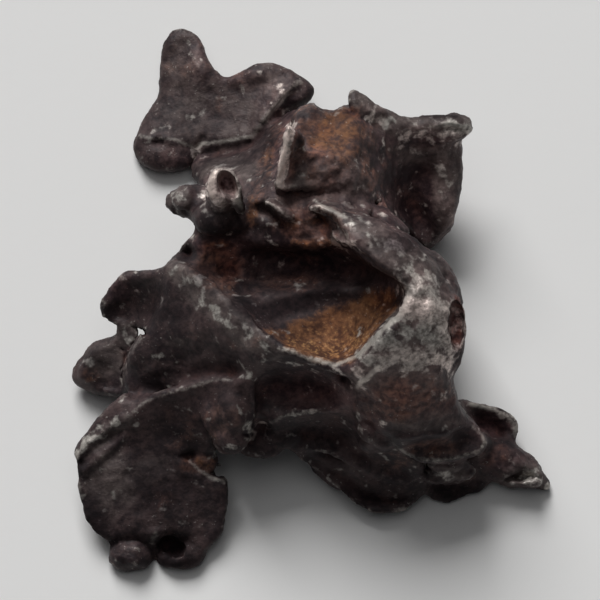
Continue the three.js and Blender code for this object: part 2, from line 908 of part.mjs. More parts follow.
const meteorite = new THREE.Group();
meteorite.add(skeleton);

export default meteorite;
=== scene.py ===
# A skeletal pallasite meteorite, lying on a sheet of white paper.
# Metres, +Z up. Places on the metal are given in millimetres in its own laid-out plane: x across,
# y along, z out of the broad side, which leans back as the specimen rests.

import math

import bpy
import numpy as np
from mathutils import Matrix, Vector
from mathutils.bvhtree import BVHTree
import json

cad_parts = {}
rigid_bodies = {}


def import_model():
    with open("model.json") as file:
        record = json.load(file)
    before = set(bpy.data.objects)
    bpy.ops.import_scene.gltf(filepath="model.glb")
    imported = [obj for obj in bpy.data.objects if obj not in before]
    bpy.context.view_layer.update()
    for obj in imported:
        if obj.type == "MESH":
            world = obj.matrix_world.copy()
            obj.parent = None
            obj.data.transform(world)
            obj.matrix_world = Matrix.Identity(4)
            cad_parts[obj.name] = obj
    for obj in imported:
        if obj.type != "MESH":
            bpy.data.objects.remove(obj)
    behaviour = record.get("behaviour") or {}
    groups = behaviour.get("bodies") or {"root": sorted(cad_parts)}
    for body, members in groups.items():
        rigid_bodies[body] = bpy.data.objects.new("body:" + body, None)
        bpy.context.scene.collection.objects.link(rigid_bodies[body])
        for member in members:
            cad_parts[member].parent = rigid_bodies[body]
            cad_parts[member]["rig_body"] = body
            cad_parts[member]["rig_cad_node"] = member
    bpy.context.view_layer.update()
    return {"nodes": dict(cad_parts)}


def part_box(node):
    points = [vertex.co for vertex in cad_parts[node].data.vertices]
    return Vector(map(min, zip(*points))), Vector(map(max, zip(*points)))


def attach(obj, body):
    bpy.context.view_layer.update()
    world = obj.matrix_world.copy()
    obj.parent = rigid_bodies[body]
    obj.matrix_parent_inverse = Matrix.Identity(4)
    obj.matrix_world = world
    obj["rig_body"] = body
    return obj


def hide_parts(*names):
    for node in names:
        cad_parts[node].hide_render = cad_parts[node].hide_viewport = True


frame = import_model()

MM = 0.001
NODE = "metal_skeleton"
SLOT = "weathered_iron"

# How the laid-out plane lies in the frame: its lean, how high its zero is above the paper, and the
# x and y of the metal's left and back tips in it.
LEAN = math.radians(15)
LIFT = 8.5
LEFT_TIP = -16.11
BACK_TIP = 21.99

# Mesh sizes at each stage, how far the skin swells at last, and a place beside the metal that is
# kept when loose crumbs are taken away.
FIRST_VOXEL = 0.26 * MM
PRESSED_VOXEL = 0.22 * MM
JOINED_VOXEL = 0.21 * MM
CUTTER_VOXEL = 0.12 * MM
SWELL = 0.06 * MM
TRIANGLES = 190000
HEART = (8.5, 0, 7)

low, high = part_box(NODE)
SHIFT = Vector((low.x / MM - LEFT_TIP, high.y / MM - BACK_TIP, LIFT))
TILT = Matrix.Rotation(LEAN, 3, "X")
OUT = TILT @ Vector((0, 0, 1))


def at(x, y, z):
    """A laid-out point in millimetres, as a place in the frame in metres."""
    return (TILT @ Vector((x, y, z)) + SHIFT) * MM


# ---------------- camera

CAMERA_REACH = 600 * MM
VIEW_WIDTH = 42 * MM
SENSOR = 36

bpy.ops.object.camera_add(location=at(0, 0, 0) + OUT * CAMERA_REACH, rotation=(LEAN, 0, 0))
camera = bpy.context.object
camera.data.sensor_width = SENSOR
camera.data.lens = SENSOR * CAMERA_REACH / VIEW_WIDTH
camera.data.clip_start = 0.01
camera.data.clip_end = 10
bpy.context.scene.camera = camera


# ---------------- modelling tools

def only(piece):
    """Selects one piece and nothing else."""
    bpy.ops.object.select_all(action="DESELECT")
    piece.select_set(True)
    bpy.context.view_layer.objects.active = piece


def finish_modifier(piece, kind, **settings):
    """Adds a modifier and applies it."""
    modifier = piece.modifiers.new(kind.lower(), kind)
    for name, value in settings.items():
        setattr(modifier, name, value)
    only(piece)
    bpy.ops.object.modifier_apply(modifier=modifier.name)


def remesh(piece, size):
    """Turns whatever overlaps in the piece into one even skin."""
    finish_modifier(piece, "REMESH", mode="VOXEL", voxel_size=size, use_smooth_shade=True)


def joined(pieces, name):
    """Joins the pieces to the first of them."""
    only(pieces[0])
    for piece in pieces:
        piece.select_set(True)
    bpy.ops.object.join()
    whole = bpy.context.object
    whole.name = name
    whole.data.name = name
    bpy.ops.object.transform_apply(location=True, rotation=True, scale=True)
    return whole


def surface_of(piece):
    """The piece's surface, ready to be met by rays."""
    corners = [vertex.co.copy() for vertex in piece.data.vertices]
    return BVHTree.FromPolygons(corners, [list(face.vertices) for face in piece.data.polygons])


def wire(places, radii):
    """A rounded rod through places, with a radius in millimetres at each."""
    bpy.ops.object.select_all(action="DESELECT")
    bpy.ops.mesh.primitive_plane_add(size=0.1 * MM, location=(0, 0, 0))
    rounded = bpy.context.object
    bpy.ops.object.mode_set(mode="EDIT")
    bpy.ops.mesh.select_all(action="SELECT")
    bpy.ops.mesh.merge(type="CENTER")
    bpy.ops.transform.translate(value=places[0])
    for before, after in zip(places, places[1:]):
        bpy.ops.mesh.extrude_region_move(TRANSFORM_OT_translate={"value": after - before})
    bpy.ops.object.mode_set(mode="OBJECT")
    skin = rounded.modifiers.new("skin", "SKIN")
    skin.use_smooth_shade = True
    for point, radius in zip(rounded.data.skin_vertices[0].data, radii):
        point.radius = (radius * MM, radius * MM)
    only(rounded)
    bpy.ops.object.modifier_apply(modifier=skin.name)
    finish_modifier(rounded, "SUBSURF", levels=1, render_levels=1)
    return rounded


def on_metal(tree, x, y):
    """The place on the broad side over a laid-out x and y, or the nearest metal at its edge."""
    well_above, below, sink = 40, -3, -0.06
    place, _, _, _ = tree.ray_cast(at(x, y, well_above), -OUT)
    if place is None:
        place, _, _, _ = tree.find_nearest(at(x, y, below))
    return place + OUT * sink * MM


def crest(tree, points):
    """A worn crest that follows the metal: each point is x, y and radius."""
    return wire([on_metal(tree, x, y) for x, y, _ in points], [radius for _, _, radius in points])


def rod(points):
    """A rounded rod through points of x, y, z and radius."""
    return wire([at(x, y, z) for x, y, z, _ in points], [radius for _, _, _, radius in points])


def ball(place, radii, turn):
    """A rounded lump or cutter at a laid-out place, its radii across, along and out."""
    bpy.ops.object.select_all(action="DESELECT")
    bpy.ops.mesh.primitive_ico_sphere_add(subdivisions=4, radius=MM, location=(0, 0, 0))
    lump = bpy.context.object
    bpy.ops.object.mode_set(mode="EDIT")
    bpy.ops.mesh.select_all(action="SELECT")
    bpy.ops.transform.resize(value=radii)
    bpy.ops.object.mode_set(mode="OBJECT")
    spin = Matrix.Rotation(math.radians(turn), 3, "Z")
    lump.matrix_world = Matrix.Translation(at(*place)) @ (TILT @ spin).to_4x4()
    bpy.ops.object.transform_apply(location=True, rotation=True, scale=True)
    return lump


def ripple(piece, name, size, height, group=""):
    """Raises and sinks the surface by a cloudy pattern, its size and height in millimetres."""
    pattern = bpy.data.textures.new(name, "CLOUDS")
    pattern.noise_scale = size * MM
    pattern.noise_depth = 2
    finish_modifier(piece, "DISPLACE", texture=pattern, texture_coords="LOCAL", strength=height * MM,
                    mid_level=0.5, vertex_group=group)


# ---------------- moving the broad side

def places_of(piece):
    """The piece's corners in the frame, as rows."""
    rows = np.zeros(len(piece.data.vertices) * 3, np.float32)
    piece.data.vertices.foreach_get("co", rows)
    return rows.reshape(-1, 3).astype(float)


def laid_out(piece):
    """The piece's corners as rows of laid-out millimetres."""
    return (places_of(piece) / MM - np.array(SHIFT)) @ np.array(TILT)


def move_to(piece, rows):
    """Moves the piece's corners to rows of places in the frame."""
    piece.data.vertices.foreach_set("co", rows.astype(np.float32).ravel())
    piece.data.update()


def move_to_laid(piece, laid):
    """Moves the piece's corners to rows of laid-out millimetres."""
    move_to(piece, (laid @ np.array(TILT).T + np.array(SHIFT)) * MM)


def keep_above_ground(piece):
    """Lifts anything below the paper up to it."""
    rows = places_of(piece)
    rows[:, 2] = np.maximum(rows[:, 2], 0)
    move_to(piece, rows)


def seen_from_above(piece):
    """True for the corners that nothing covers on the broad side."""
    tree = surface_of(piece)
    step = OUT * 0.02 * MM
    return np.array([tree.ray_cast(vertex.co + step, OUT)[0] is None for vertex in piece.data.vertices])


def from_stretch(x, y, ax, ay, bx, by):
    """How far each place lies from the straight stretch a to b, and how far along that is, 0 to 1."""
    along = ((x - ax) * (bx - ax) + (y - ay) * (by - ay)) / ((bx - ax) ** 2 + (by - ay) ** 2)
    along = np.clip(along, 0, 1)
    return np.hypot(x - ax - along * (bx - ax), y - ay - along * (by - ay)), along


def inside_distance(x, y, outline):
    """How far inside an outline each point lies, negative outside."""
    inside = np.zeros(len(x), bool)
    nearest = np.full(len(x), np.inf)
    for (ax, ay), (bx, by) in zip(outline, outline[1:] + outline[:1]):
        crosses = (ay > y) != (by > y)
        with np.errstate(divide="ignore", invalid="ignore"):
            inside ^= crosses & (x < (bx - ax) * (y - ay) / (by - ay) + ax)
        nearest = np.minimum(nearest, from_stretch(x, y, ax, ay, bx, by)[0])
    return np.where(inside, nearest, -nearest)


def line_profile(x, y, points):
    """How strongly each place feels a line of x, y and radius: 1 on it, 0 a radius away."""
    best = np.zeros(len(x))
    for (ax, ay, start), (bx, by, end) in zip(points, points[1:]):
        away, along = from_stretch(x, y, ax, ay, bx, by)
        best = np.maximum(best, np.clip(1 - away / (start + along * (end - start)), 0, 1))
    return best


def bow(square):
    """How a thin sheet bows at a distance from a held point, from the distance squared."""
    return 0.5 * square * np.log(square + 1e-9)


def stretched_sheet(heights, x, y):
    """A smooth sheet pulled over known heights, read at x and y."""
    px, py, pz = np.array(heights, float).T
    count = len(px)
    square = (px[:, None] - px) ** 2 + (py[:, None] - py) ** 2
    sides = np.column_stack([np.ones(count), px, py])
    slack = 0.02 * np.eye(count)
    left = np.block([[bow(square) + slack, sides], [sides.T, np.zeros((3, 3))]])
    weights = np.linalg.solve(left, np.concatenate([pz, np.zeros(3)]))
    sheet = weights[count] + weights[count + 1] * x + weights[count + 2] * y
    for i in range(count):
        sheet = sheet + weights[i] * bow((x - px[i]) ** 2 + (y - py[i]) ** 2)
    return sheet


def press(piece, faces):
    """Moves the broad side, out or in, to curved faces: an outline, heights and a soft edge each."""
    laid = laid_out(piece)
    seen = seen_from_above(piece)
    for outline, heights, soft in faces:
        x, y, z = laid.T
        share = np.clip(inside_distance(x, y, outline) / soft + 0.5, 0, 1)
        touched = np.nonzero(share > 0)[0]
        level = stretched_sheet(heights, x[touched], y[touched])
        move = (level - z[touched]) * share[touched]
        laid[touched, 2] += np.where(seen[touched] | (move < 0), move, 0)
    move_to_laid(piece, laid)


def score(piece, lines):
    """Raises or sinks the broad side along lines: a height, then points of x, y and radius."""
    laid = laid_out(piece)
    seen = np.nonzero(seen_from_above(piece))[0]
    x, y, _ = laid[seen].T
    for height, points in lines:
        share = line_profile(x, y, points)
        laid[seen, 2] += height * share * share * (3 - 2 * share)
    move_to_laid(piece, laid)


def drop_loose_parts(piece, kept):
    """Takes away all that isn't joined to the corner nearest to a laid-out place."""
    nearest = int(np.argmin(((laid_out(piece) - np.array(kept)) ** 2).sum(1)))
    bpy.ops.object.mode_set(mode="EDIT")
    bpy.ops.mesh.select_mode(type="VERT")
    bpy.ops.mesh.select_all(action="DESELECT")
    bpy.ops.object.mode_set(mode="OBJECT")
    piece.data.vertices[nearest].select = True
    bpy.ops.object.mode_set(mode="EDIT")
    bpy.ops.mesh.select_linked()
    bpy.ops.mesh.select_all(action="INVERT")
    bpy.ops.mesh.delete(type="VERT")
    bpy.ops.object.mode_set(mode="OBJECT")


# ---------------- the metal's shape, in millimetres

# Curved faces: an outline of x and y, heights of x, y and z, and how soft the edge is.
FACES = [
    # the left arm's dark cup
    ([(-13.9, 0), (-13.4, 0.7), (-12.3, 1.7), (-11, 1.7), (-9.8, 1.9), (-9, 1.3), (-9.3, 0), (-10.3, -1.6),
      (-12, -1.7), (-13.8, -1.5)],
     [(-13.9, -0.5, -3.2), (-13.2, 0.6, -2.6), (-12, 1.6, -2), (-10.5, 1.8, -1.2), (-9.2, 2, 0.2),
      (-12.5, -0.5, -3.7), (-11.3, -0.8, -3), (-10.3, -0.8, -1.8), (-9.6, 0.2, -0.6), (-10.6, -1.7, -2.2),
      (-12.5, -1.6, -3.7), (-9.3, 1, 0.1)], 0.5),
    # the slope from the shoulder crest down to the paddle crest
    ([(-9, 2.6), (-7.9, 2.1), (-6.9, 1.3), (-5.9, 0.6), (-4.9, -0.2), (-3.9, -1.3), (-2.8, -2.1), (-1.5, -3),
      (-0.6, -3.7), (-1.8, -4.4), (-3.4, -4.9), (-4.6, -5.4), (-6, -5.3), (-7.9, -5.8), (-9.3, -6.2),
      (-10.6, -6.6), (-12, -6.9), (-12.3, -5.5), (-12.2, -4), (-11.2, -2.7), (-10.4, -1.6), (-9.4, 0)],
     [(-8.8, 2.7, 1), (-7.9, 2, 1.7), (-5.9, 0.5, 3.1), (-4, -1.4, 4.3), (-2.8, -2.2, 4.9), (-0.7, -3.8, 5.4),
      (-9.2, 1.4, 0.4), (-8, 0.2, 1.2), (-6.6, -1.3, 2.3), (-5, -2.9, 3), (-3.4, -4.2, 3.6), (-1.8, -4.5, 4.3),
      (-10.4, -1.6, -0.5), (-9, -2.2, 0.5), (-7.2, -2.8, 1.4), (-5.8, -3.6, 1.7), (-4.2, -4.6, 1.9),
      (-11.6, -3.4, -1.4), (-12.1, -5.4, -2.4), (-10.5, -4, -0.8), (-10.6, -5.8, -1.8), (-9, -3.8, -0.2),
      (-9, -5.4, -1.1), (-7.5, -3.9, 0.4), (-7.5, -5.2, -0.3), (-6, -4.4, 0.9), (-6, -5.1, 0.5),
      (-4.9, -5.2, 1)], 0.3),
    # the left lobe
    ([(-12.9, -2.9), (-13.6, -3.4), (-14.7, -3.6), (-15.4, -4.6), (-15.7, -5.5), (-14.5, -6.2), (-12.9, -6.5),
      (-12.4, -5), (-12.2, -3.6)],
     [(-12.4, -3.1, -4.2), (-13.8, -3.5, -4.4), (-15.2, -4.3, -4.6), (-15.6, -5.4, -5.1), (-14.5, -6, -5.3),
      (-12.9, -6.3, -4.9), (-13.6, -4.9, -5.1), (-12.5, -4.8, -4.9)], 0.4),
    # the dark scoop under the pocket's front lip
    ([(-3.3, -4.9), (-2.4, -4.4), (-1.2, -4.3), (0, -4.4), (1.2, -4.7), (2.3, -5.1), (3.3, -5.7), (3.8, -6.6),
      (3.6, -7.5), (2.6, -7.8), (1, -7.7), (-0.1, -7.8), (-1.2, -8.1), (-2.1, -8.6), (-2.9, -8), (-3.2, -6.9),
      (-3, -5.8)],
     [(0, -4.4, 4.6), (-2, -4.5, 3.8), (2, -5, 4.4), (3.5, -6, 3.9), (3.7, -7.2, 3), (0.5, -5.2, 2),
      (-1.5, -5.3, 1.4), (-2.9, -5.8, 1.6), (2.2, -5.8, 2.2), (0, -6.4, 0.9), (-1.6, -7.1, 0.7), (1.6, -6.7, 1.2),
      (1, -7.7, 1.8), (-1.2, -8.1, 1.4), (-2.1, -8.6, 1), (2.6, -7.7, 2.3)], 0.3),
    # the cheek below the right end of the pocket
    ([(3.4, -5.4), (4.2, -5.9), (5.2, -4.9), (7.5, -4.9), (9.8, -4.8), (10.7, -6.3), (11.3, -7.6), (12.2, -8.8),
      (10.6, -9), (9.7, -9.5), (8.1, -9.5), (6.4, -9.8), (5.6, -9.3), (4.9, -8.7), (4.1, -8.4), (3.6, -7.7),
      (3.7, -6.4)],
     [(4.2, -5.3, 5.3), (5.2, -4.9, 5.8), (7.5, -4.9, 6.1), (9.8, -4.8, 5), (10.6, -6.2, 3.6), (11.2, -7.6, 2.4),
      (12, -8.7, 1.3), (10.6, -9, 2.2), (8.1, -9.5, 3), (6.4, -9.8, 3.2), (5, -8.7, 3.2), (4.1, -8.3, 3),
      (3.7, -7, 3.4), (6, -7, 4.9), (8.5, -7, 4.6), (7, -8.4, 4), (3.8, -6, 4.3)], 0.5),
    # the tongue's curled tip
    ([(6.4, -9.9), (8.1, -9.6), (9.7, -9.6), (10.6, -9.1), (12, -8.9), (12.9, -9.35), (13.3, -9.9), (13.2, -10.3),
      (12.7, -10.7), (12, -10.85), (10.9, -11.1), (9.7, -11.4), (8.45, -11.25), (7.5, -10.9), (6.8, -10.3)],
     [(6.6, -9.9, 2.7), (8.1, -9.6, 2.3), (9.7, -9.6, 1.9), (10.6, -9.1, 1.7), (12, -8.9, 1.1), (13.1, -9.9, 0.5),
      (12.6, -10.6, 0.6), (11, -11, 1.1), (9.7, -11.3, 1.3), (8.4, -11.1, 1.6), (7.4, -10.8, 1.9),
      (9.5, -10.4, 0.8), (11.5, -10, 0.4), (7.9, -10.4, 1.4)], 0.3),
    # the dark hollows between the scoop's edge and the lower lobe
    ([(-2.1, -8.8), (-1.2, -8.3), (-0.1, -8), (1, -7.9), (2.6, -8), (3.6, -7.9), (4.3, -8.6), (5, -9.5),
      (5.2, -10.2), (6.4, -10.1), (7.4, -11), (8.6, -11.6), (8.7, -12.6), (6.9, -12.7), (5.7, -12.2), (4.4, -11.6),
      (3.2, -10.9), (2, -10.5), (0.4, -10.3), (-0.6, -10), (-1.6, -9.6)],
     [(-2, -8.9, 0.3), (-1, -8.6, 0.5), (1, -8.1, 0.8), (3, -8.1, 1.2), (4.3, -8.7, 2.2), (5, -9.5, 2),
      (5.2, -10.2, 1.5), (1.5, -9.3, -1), (3.3, -9.4, -0.6), (0, -9.3, -1.4), (0.4, -10.4, -1.4), (2, -10.6, -1.3),
      (3.2, -11, -1.4), (4.4, -11.7, -1.5), (5.7, -12.3, -1.7), (6.9, -12.8, -1.9), (8.5, -12.7, -2.1),
      (5.8, -10.9, -0.4), (6.8, -11.2, -0.7), (8.2, -11.8, -1.2), (6.2, -11.6, -1.9), (7.5, -12.1, -2.1),
      (4.6, -10.8, -1.4)], 0.3),
    # the lower lobe, falling to its edge
    ([(-0.4, -10.5), (0.6, -10.6), (2, -11), (3.2, -11.3), (4.4, -12), (5.7, -12.6), (6.9, -13), (8.5, -13),
      (8.2, -13.8), (7.4, -14.4), (6.3, -14.6), (5, -14.5), (4.1, -14.1), (3.2, -13.3), (2.6, -12.7), (1.7, -12.3),
      (0.9, -11.6), (0, -10.9)],
     [(0.4, -10.7, -1.6), (2, -11, -1.6), (4.4, -12, -1.8), (6.9, -13, -2.2), (8.3, -13.2, -2.5), (0.9, -11.5, -3),
      (2.6, -12.6, -3.6), (4.1, -14, -4.1), (6.3, -14.5, -4.2), (7.9, -13.9, -3.9), (3, -12, -2.5),
      (5.4, -13.4, -3)], 0.3),
    # the pocket's brown inner left wall
    ([(-7.2, 4.2), (-5.5, 4.5), (-3.6, 4.1), (-3, 2.8), (-3.4, 1), (-4.4, 0), (-5.3, 0.2), (-6.4, 1), (-7.4, 1.9),
      (-7.6, 3)],
     [(-7.2, 4.1, 0.5), (-5.5, 4.4, 0.6), (-3.6, 3.9, 0.3), (-7.3, 2, 0.7), (-6.2, 1.4, 0.4), (-5.2, 0.2, 1),
      (-5.8, 2.8, -0.5), (-4.4, 2, -0.8), (-3.4, 1.2, -0.9), (-3.2, 2.8, -1.3), (-4.4, 0.2, 0.6)], 0.3),
    # the paddle's curtain, from its crest down to the flat
    ([(-4.9, -5.9), (-6.8, -6.1), (-9.3, -6.8), (-11.2, -7.5), (-12.1, -8.4), (-12.2, -9.5), (-10.8, -9.6),
      (-9, -10), (-7, -10.6), (-6.6, -9), (-6, -7.4)],
     [(-4.9, -5.9, 1.2), (-6.8, -6.1, 0.5), (-9.3, -6.8, -0.3), (-11.2, -7.5, -0.7), (-12.1, -8.4, -1),
      (-12.1, -9.5, -1.7), (-10.8, -9.4, -1.6), (-9, -9.8, -1.7), (-7, -10.4, -1.6), (-7.2, -8.6, -0.6),
      (-9, -8.2, -1), (-6.3, -7.2, 0.6)], 0.5),
    # the paddle's flat
    ([(-15.3, -12.3), (-14.3, -11.3), (-13.2, -10.5), (-12.1, -9.6), (-9.5, -10), (-6.6, -10.2), (-5.8, -11.6),
      (-5.1, -12.4), (-5.2, -14.6), (-5.9, -16.2), (-7.6, -16.6), (-9, -16.3), (-10.6, -16.6), (-12.6, -16.6),
      (-14.4, -15.8), (-15, -14.4)],
     [(-14.8, -12.4, -2.3), (-12.1, -9.8, -1.8), (-9.5, -10, -1.7), (-7, -10.4, -1.7), (-14.6, -14.6, -2.5),
      (-12, -15.8, -2.4), (-8, -15.6, -2.3), (-5.6, -14.6, -2.6), (-5.5, -13, -2.3), (-10, -12.5, -1.9),
      (-10.8, -14.4, -2.2), (-13.2, -12.6, -1.9)], 0.5),
    # the red notch in the paddle's right edge
    ([(-9.1, -10.9), (-7.6, -10.7), (-6, -11), (-5.4, -11.9), (-5.1, -12.7), (-6.2, -12.5), (-7, -11.9),
      (-7.6, -11.4)],
     [(-9, -11, -2.2), (-7.4, -11, -2.9), (-6.2, -11.5, -3.4), (-5.4, -12.4, -3.2), (-6.8, -11.8, -3)], 0.3),
    # the lit hollow at the top
    ([(-0.3, 13.2), (0.7, 13.6), (1.8, 13.1), (3, 13.2), (3.4, 12.7), (4.2, 12.6), (4.6, 11.6), (4.3, 10.2),
      (3.6, 9.9), (2, 10.3), (0.5, 10.6), (-0.2, 10.6), (-0.4, 11.8)],
     [(0.7, 13.4, 0), (1.8, 13, -0.2), (3, 13, 0.1), (3.4, 12.6, 0.6), (-0.1, 12.8, 0.6), (0.2, 11.6, 1.6),
      (2, 12.1, 0.2), (2, 11.1, 1.3), (0.8, 10.6, 2.7), (2, 10.3, 2.9), (3.5, 9.9, 2.5), (3.8, 11, 1.2),
      (4.3, 12.4, 0.4), (-0.3, 10.8, 3.2)], 0.35),
    # the brown plate below it
    ([(-0.2, 10.4), (0.6, 10.5), (2, 10.2), (3.6, 9.8), (4.4, 9.9), (5, 8.5), (5.4, 7.2), (4.6, 7.4), (2, 7.8),
      (-0.3, 7.8), (-1.2, 8.2), (-0.8, 9.4)],
     [(-0.2, 8, 3.2), (0, 10.2, 3.6), (2, 10.2, 3), (3.6, 9.8, 2.5), (4.6, 8.8, 1.4), (5, 7.6, 1.2), (2, 7.9, 2.8),
      (1, 9, 3.3), (3.4, 8.4, 2.7), (-1, 8.6, 3.2)], 0.3),
    # the rough brown ground behind the pocket
    ([(-3.9, 7.2), (-2.6, 7.4), (-1.2, 7.7), (1, 7.6), (3, 7.6), (4.6, 7.2), (5.2, 6.4), (4.8, 5.8), (3.2, 6),
      (2.2, 6.4), (1.1, 6.9), (0.5, 6.4), (0.9, 5), (1.4, 4.2), (2.4, 3.9), (1, 3.4), (-1, 3.6), (-3, 3.8),
      (-3.8, 5)],
     [(-3.4, 7.2, 1.2), (0, 7.5, 2.2), (3, 7.4, 2.4), (4.6, 7, 1.8), (5, 6.2, 2.6), (0.1, 6.4, 2.7),
      (0.1, 5.4, 2.9), (1, 5, 3.2), (1.2, 4.1, 2.9), (-1.6, 7.2, 1.9), (-2, 5.2, 1.4), (-3, 6.4, 1.3),
      (-3, 4.4, 0.8), (-1, 4.2, 1.6), (3, 6.7, 2.6), (2.2, 4.2, 3.8), (-1, 5.4, 2.2)], 0.35),
    # the dark face of the upper right block
    ([(4.3, 12.6), (5.4, 12), (6.8, 11.4), (8, 11.1), (11.4, 11), (11.3, 9), (11, 7), (10.7, 5.2), (9.5, 4.1),
      (8.9, 3.5), (7.5, 5), (6.6, 5.7), (5.7, 6.2), (5.1, 7.3), (4.8, 8.6), (4.2, 10.2)],
     [(4.3, 12.4, 0.2), (4.3, 10.4, 1), (4.9, 8.7, 1.2), (5.2, 7.3, 1), (5.9, 6.4, 0.8), (6.6, 5.8, -1),
      (5.3, 11.4, -0.8), (5.9, 9.5, -1.8), (6.2, 7.8, -2.8), (7, 6.2, -4.8), (7.8, 5, -6), (6.8, 11, -2.6),
      (7.3, 9, -4.4), (7.9, 7, -6.2), (8.6, 11, -3.4), (9, 9, -5), (9, 6.5, -6), (10.3, 11, -3.6), (10.3, 9, -4.1),
      (10.1, 7, -4.7), (10, 5.2, -5.8), (11.1, 10.5, -4.6), (10.9, 8, -5.3), (9.2, 4.2, -6.8)], 0.4),
    # the far plate's face
    ([(-11.4, 11.4), (-9, 11.2), (-7.3, 11), (-5.8, 11.1), (-3.7, 11.5), (-2.6, 12.8), (-1.7, 14.1), (-0.2, 15.6),
      (-1.7, 16), (-4.6, 15.2), (-6.3, 16.2), (-7.2, 18.2), (-8.2, 18.7), (-9.3, 17.6), (-9.5, 14.6),
      (-10.7, 12.6)],
     [(-0.2, 15.5, -9.3), (-1.7, 14.1, -8.8), (-2.6, 12.8, -8.7), (-3.7, 11.5, -8.9), (-5.8, 11.2, -9.3),
      (-7.3, 11, -9.7), (-9, 11.3, -9.7), (-10.4, 11.5, -9.9), (-11.3, 11.4, -10.5), (-9, 12.6, -10.3),
      (-6, 13.5, -10.2), (-3.5, 13.5, -9.7), (-2, 15.3, -9.8), (-8.5, 16, -10.8), (-8.3, 18.4, -11.2),
      (-4.5, 15.3, -10.3), (-10.5, 13, -10.7), (-7.4, 16.6, -10.2)], 0.3),
    # the wall under its worn edge
    ([(-11.5, 11.3), (-9, 11.1), (-7.3, 10.9), (-5.8, 11), (-3.6, 11.3), (-3.2, 10.8), (-5.1, 10.4), (-7.2, 10),
      (-7.9, 9.6), (-8.8, 9.2), (-9.8, 9.1), (-10.8, 9.3), (-11.4, 10.2)],
     [(-11.3, 10.6, -10.5), (-10.6, 9.4, -10.8), (-8.8, 9.4, -10.9), (-9.7, 10.3, -10.1), (-7.3, 10.3, -10.7),
      (-5, 10.6, -10.4), (-3.5, 11, -10.2), (-8.8, 11, -9.9), (-6, 10.9, -10.1), (-10.6, 11.2, -10)], 0.25),
]

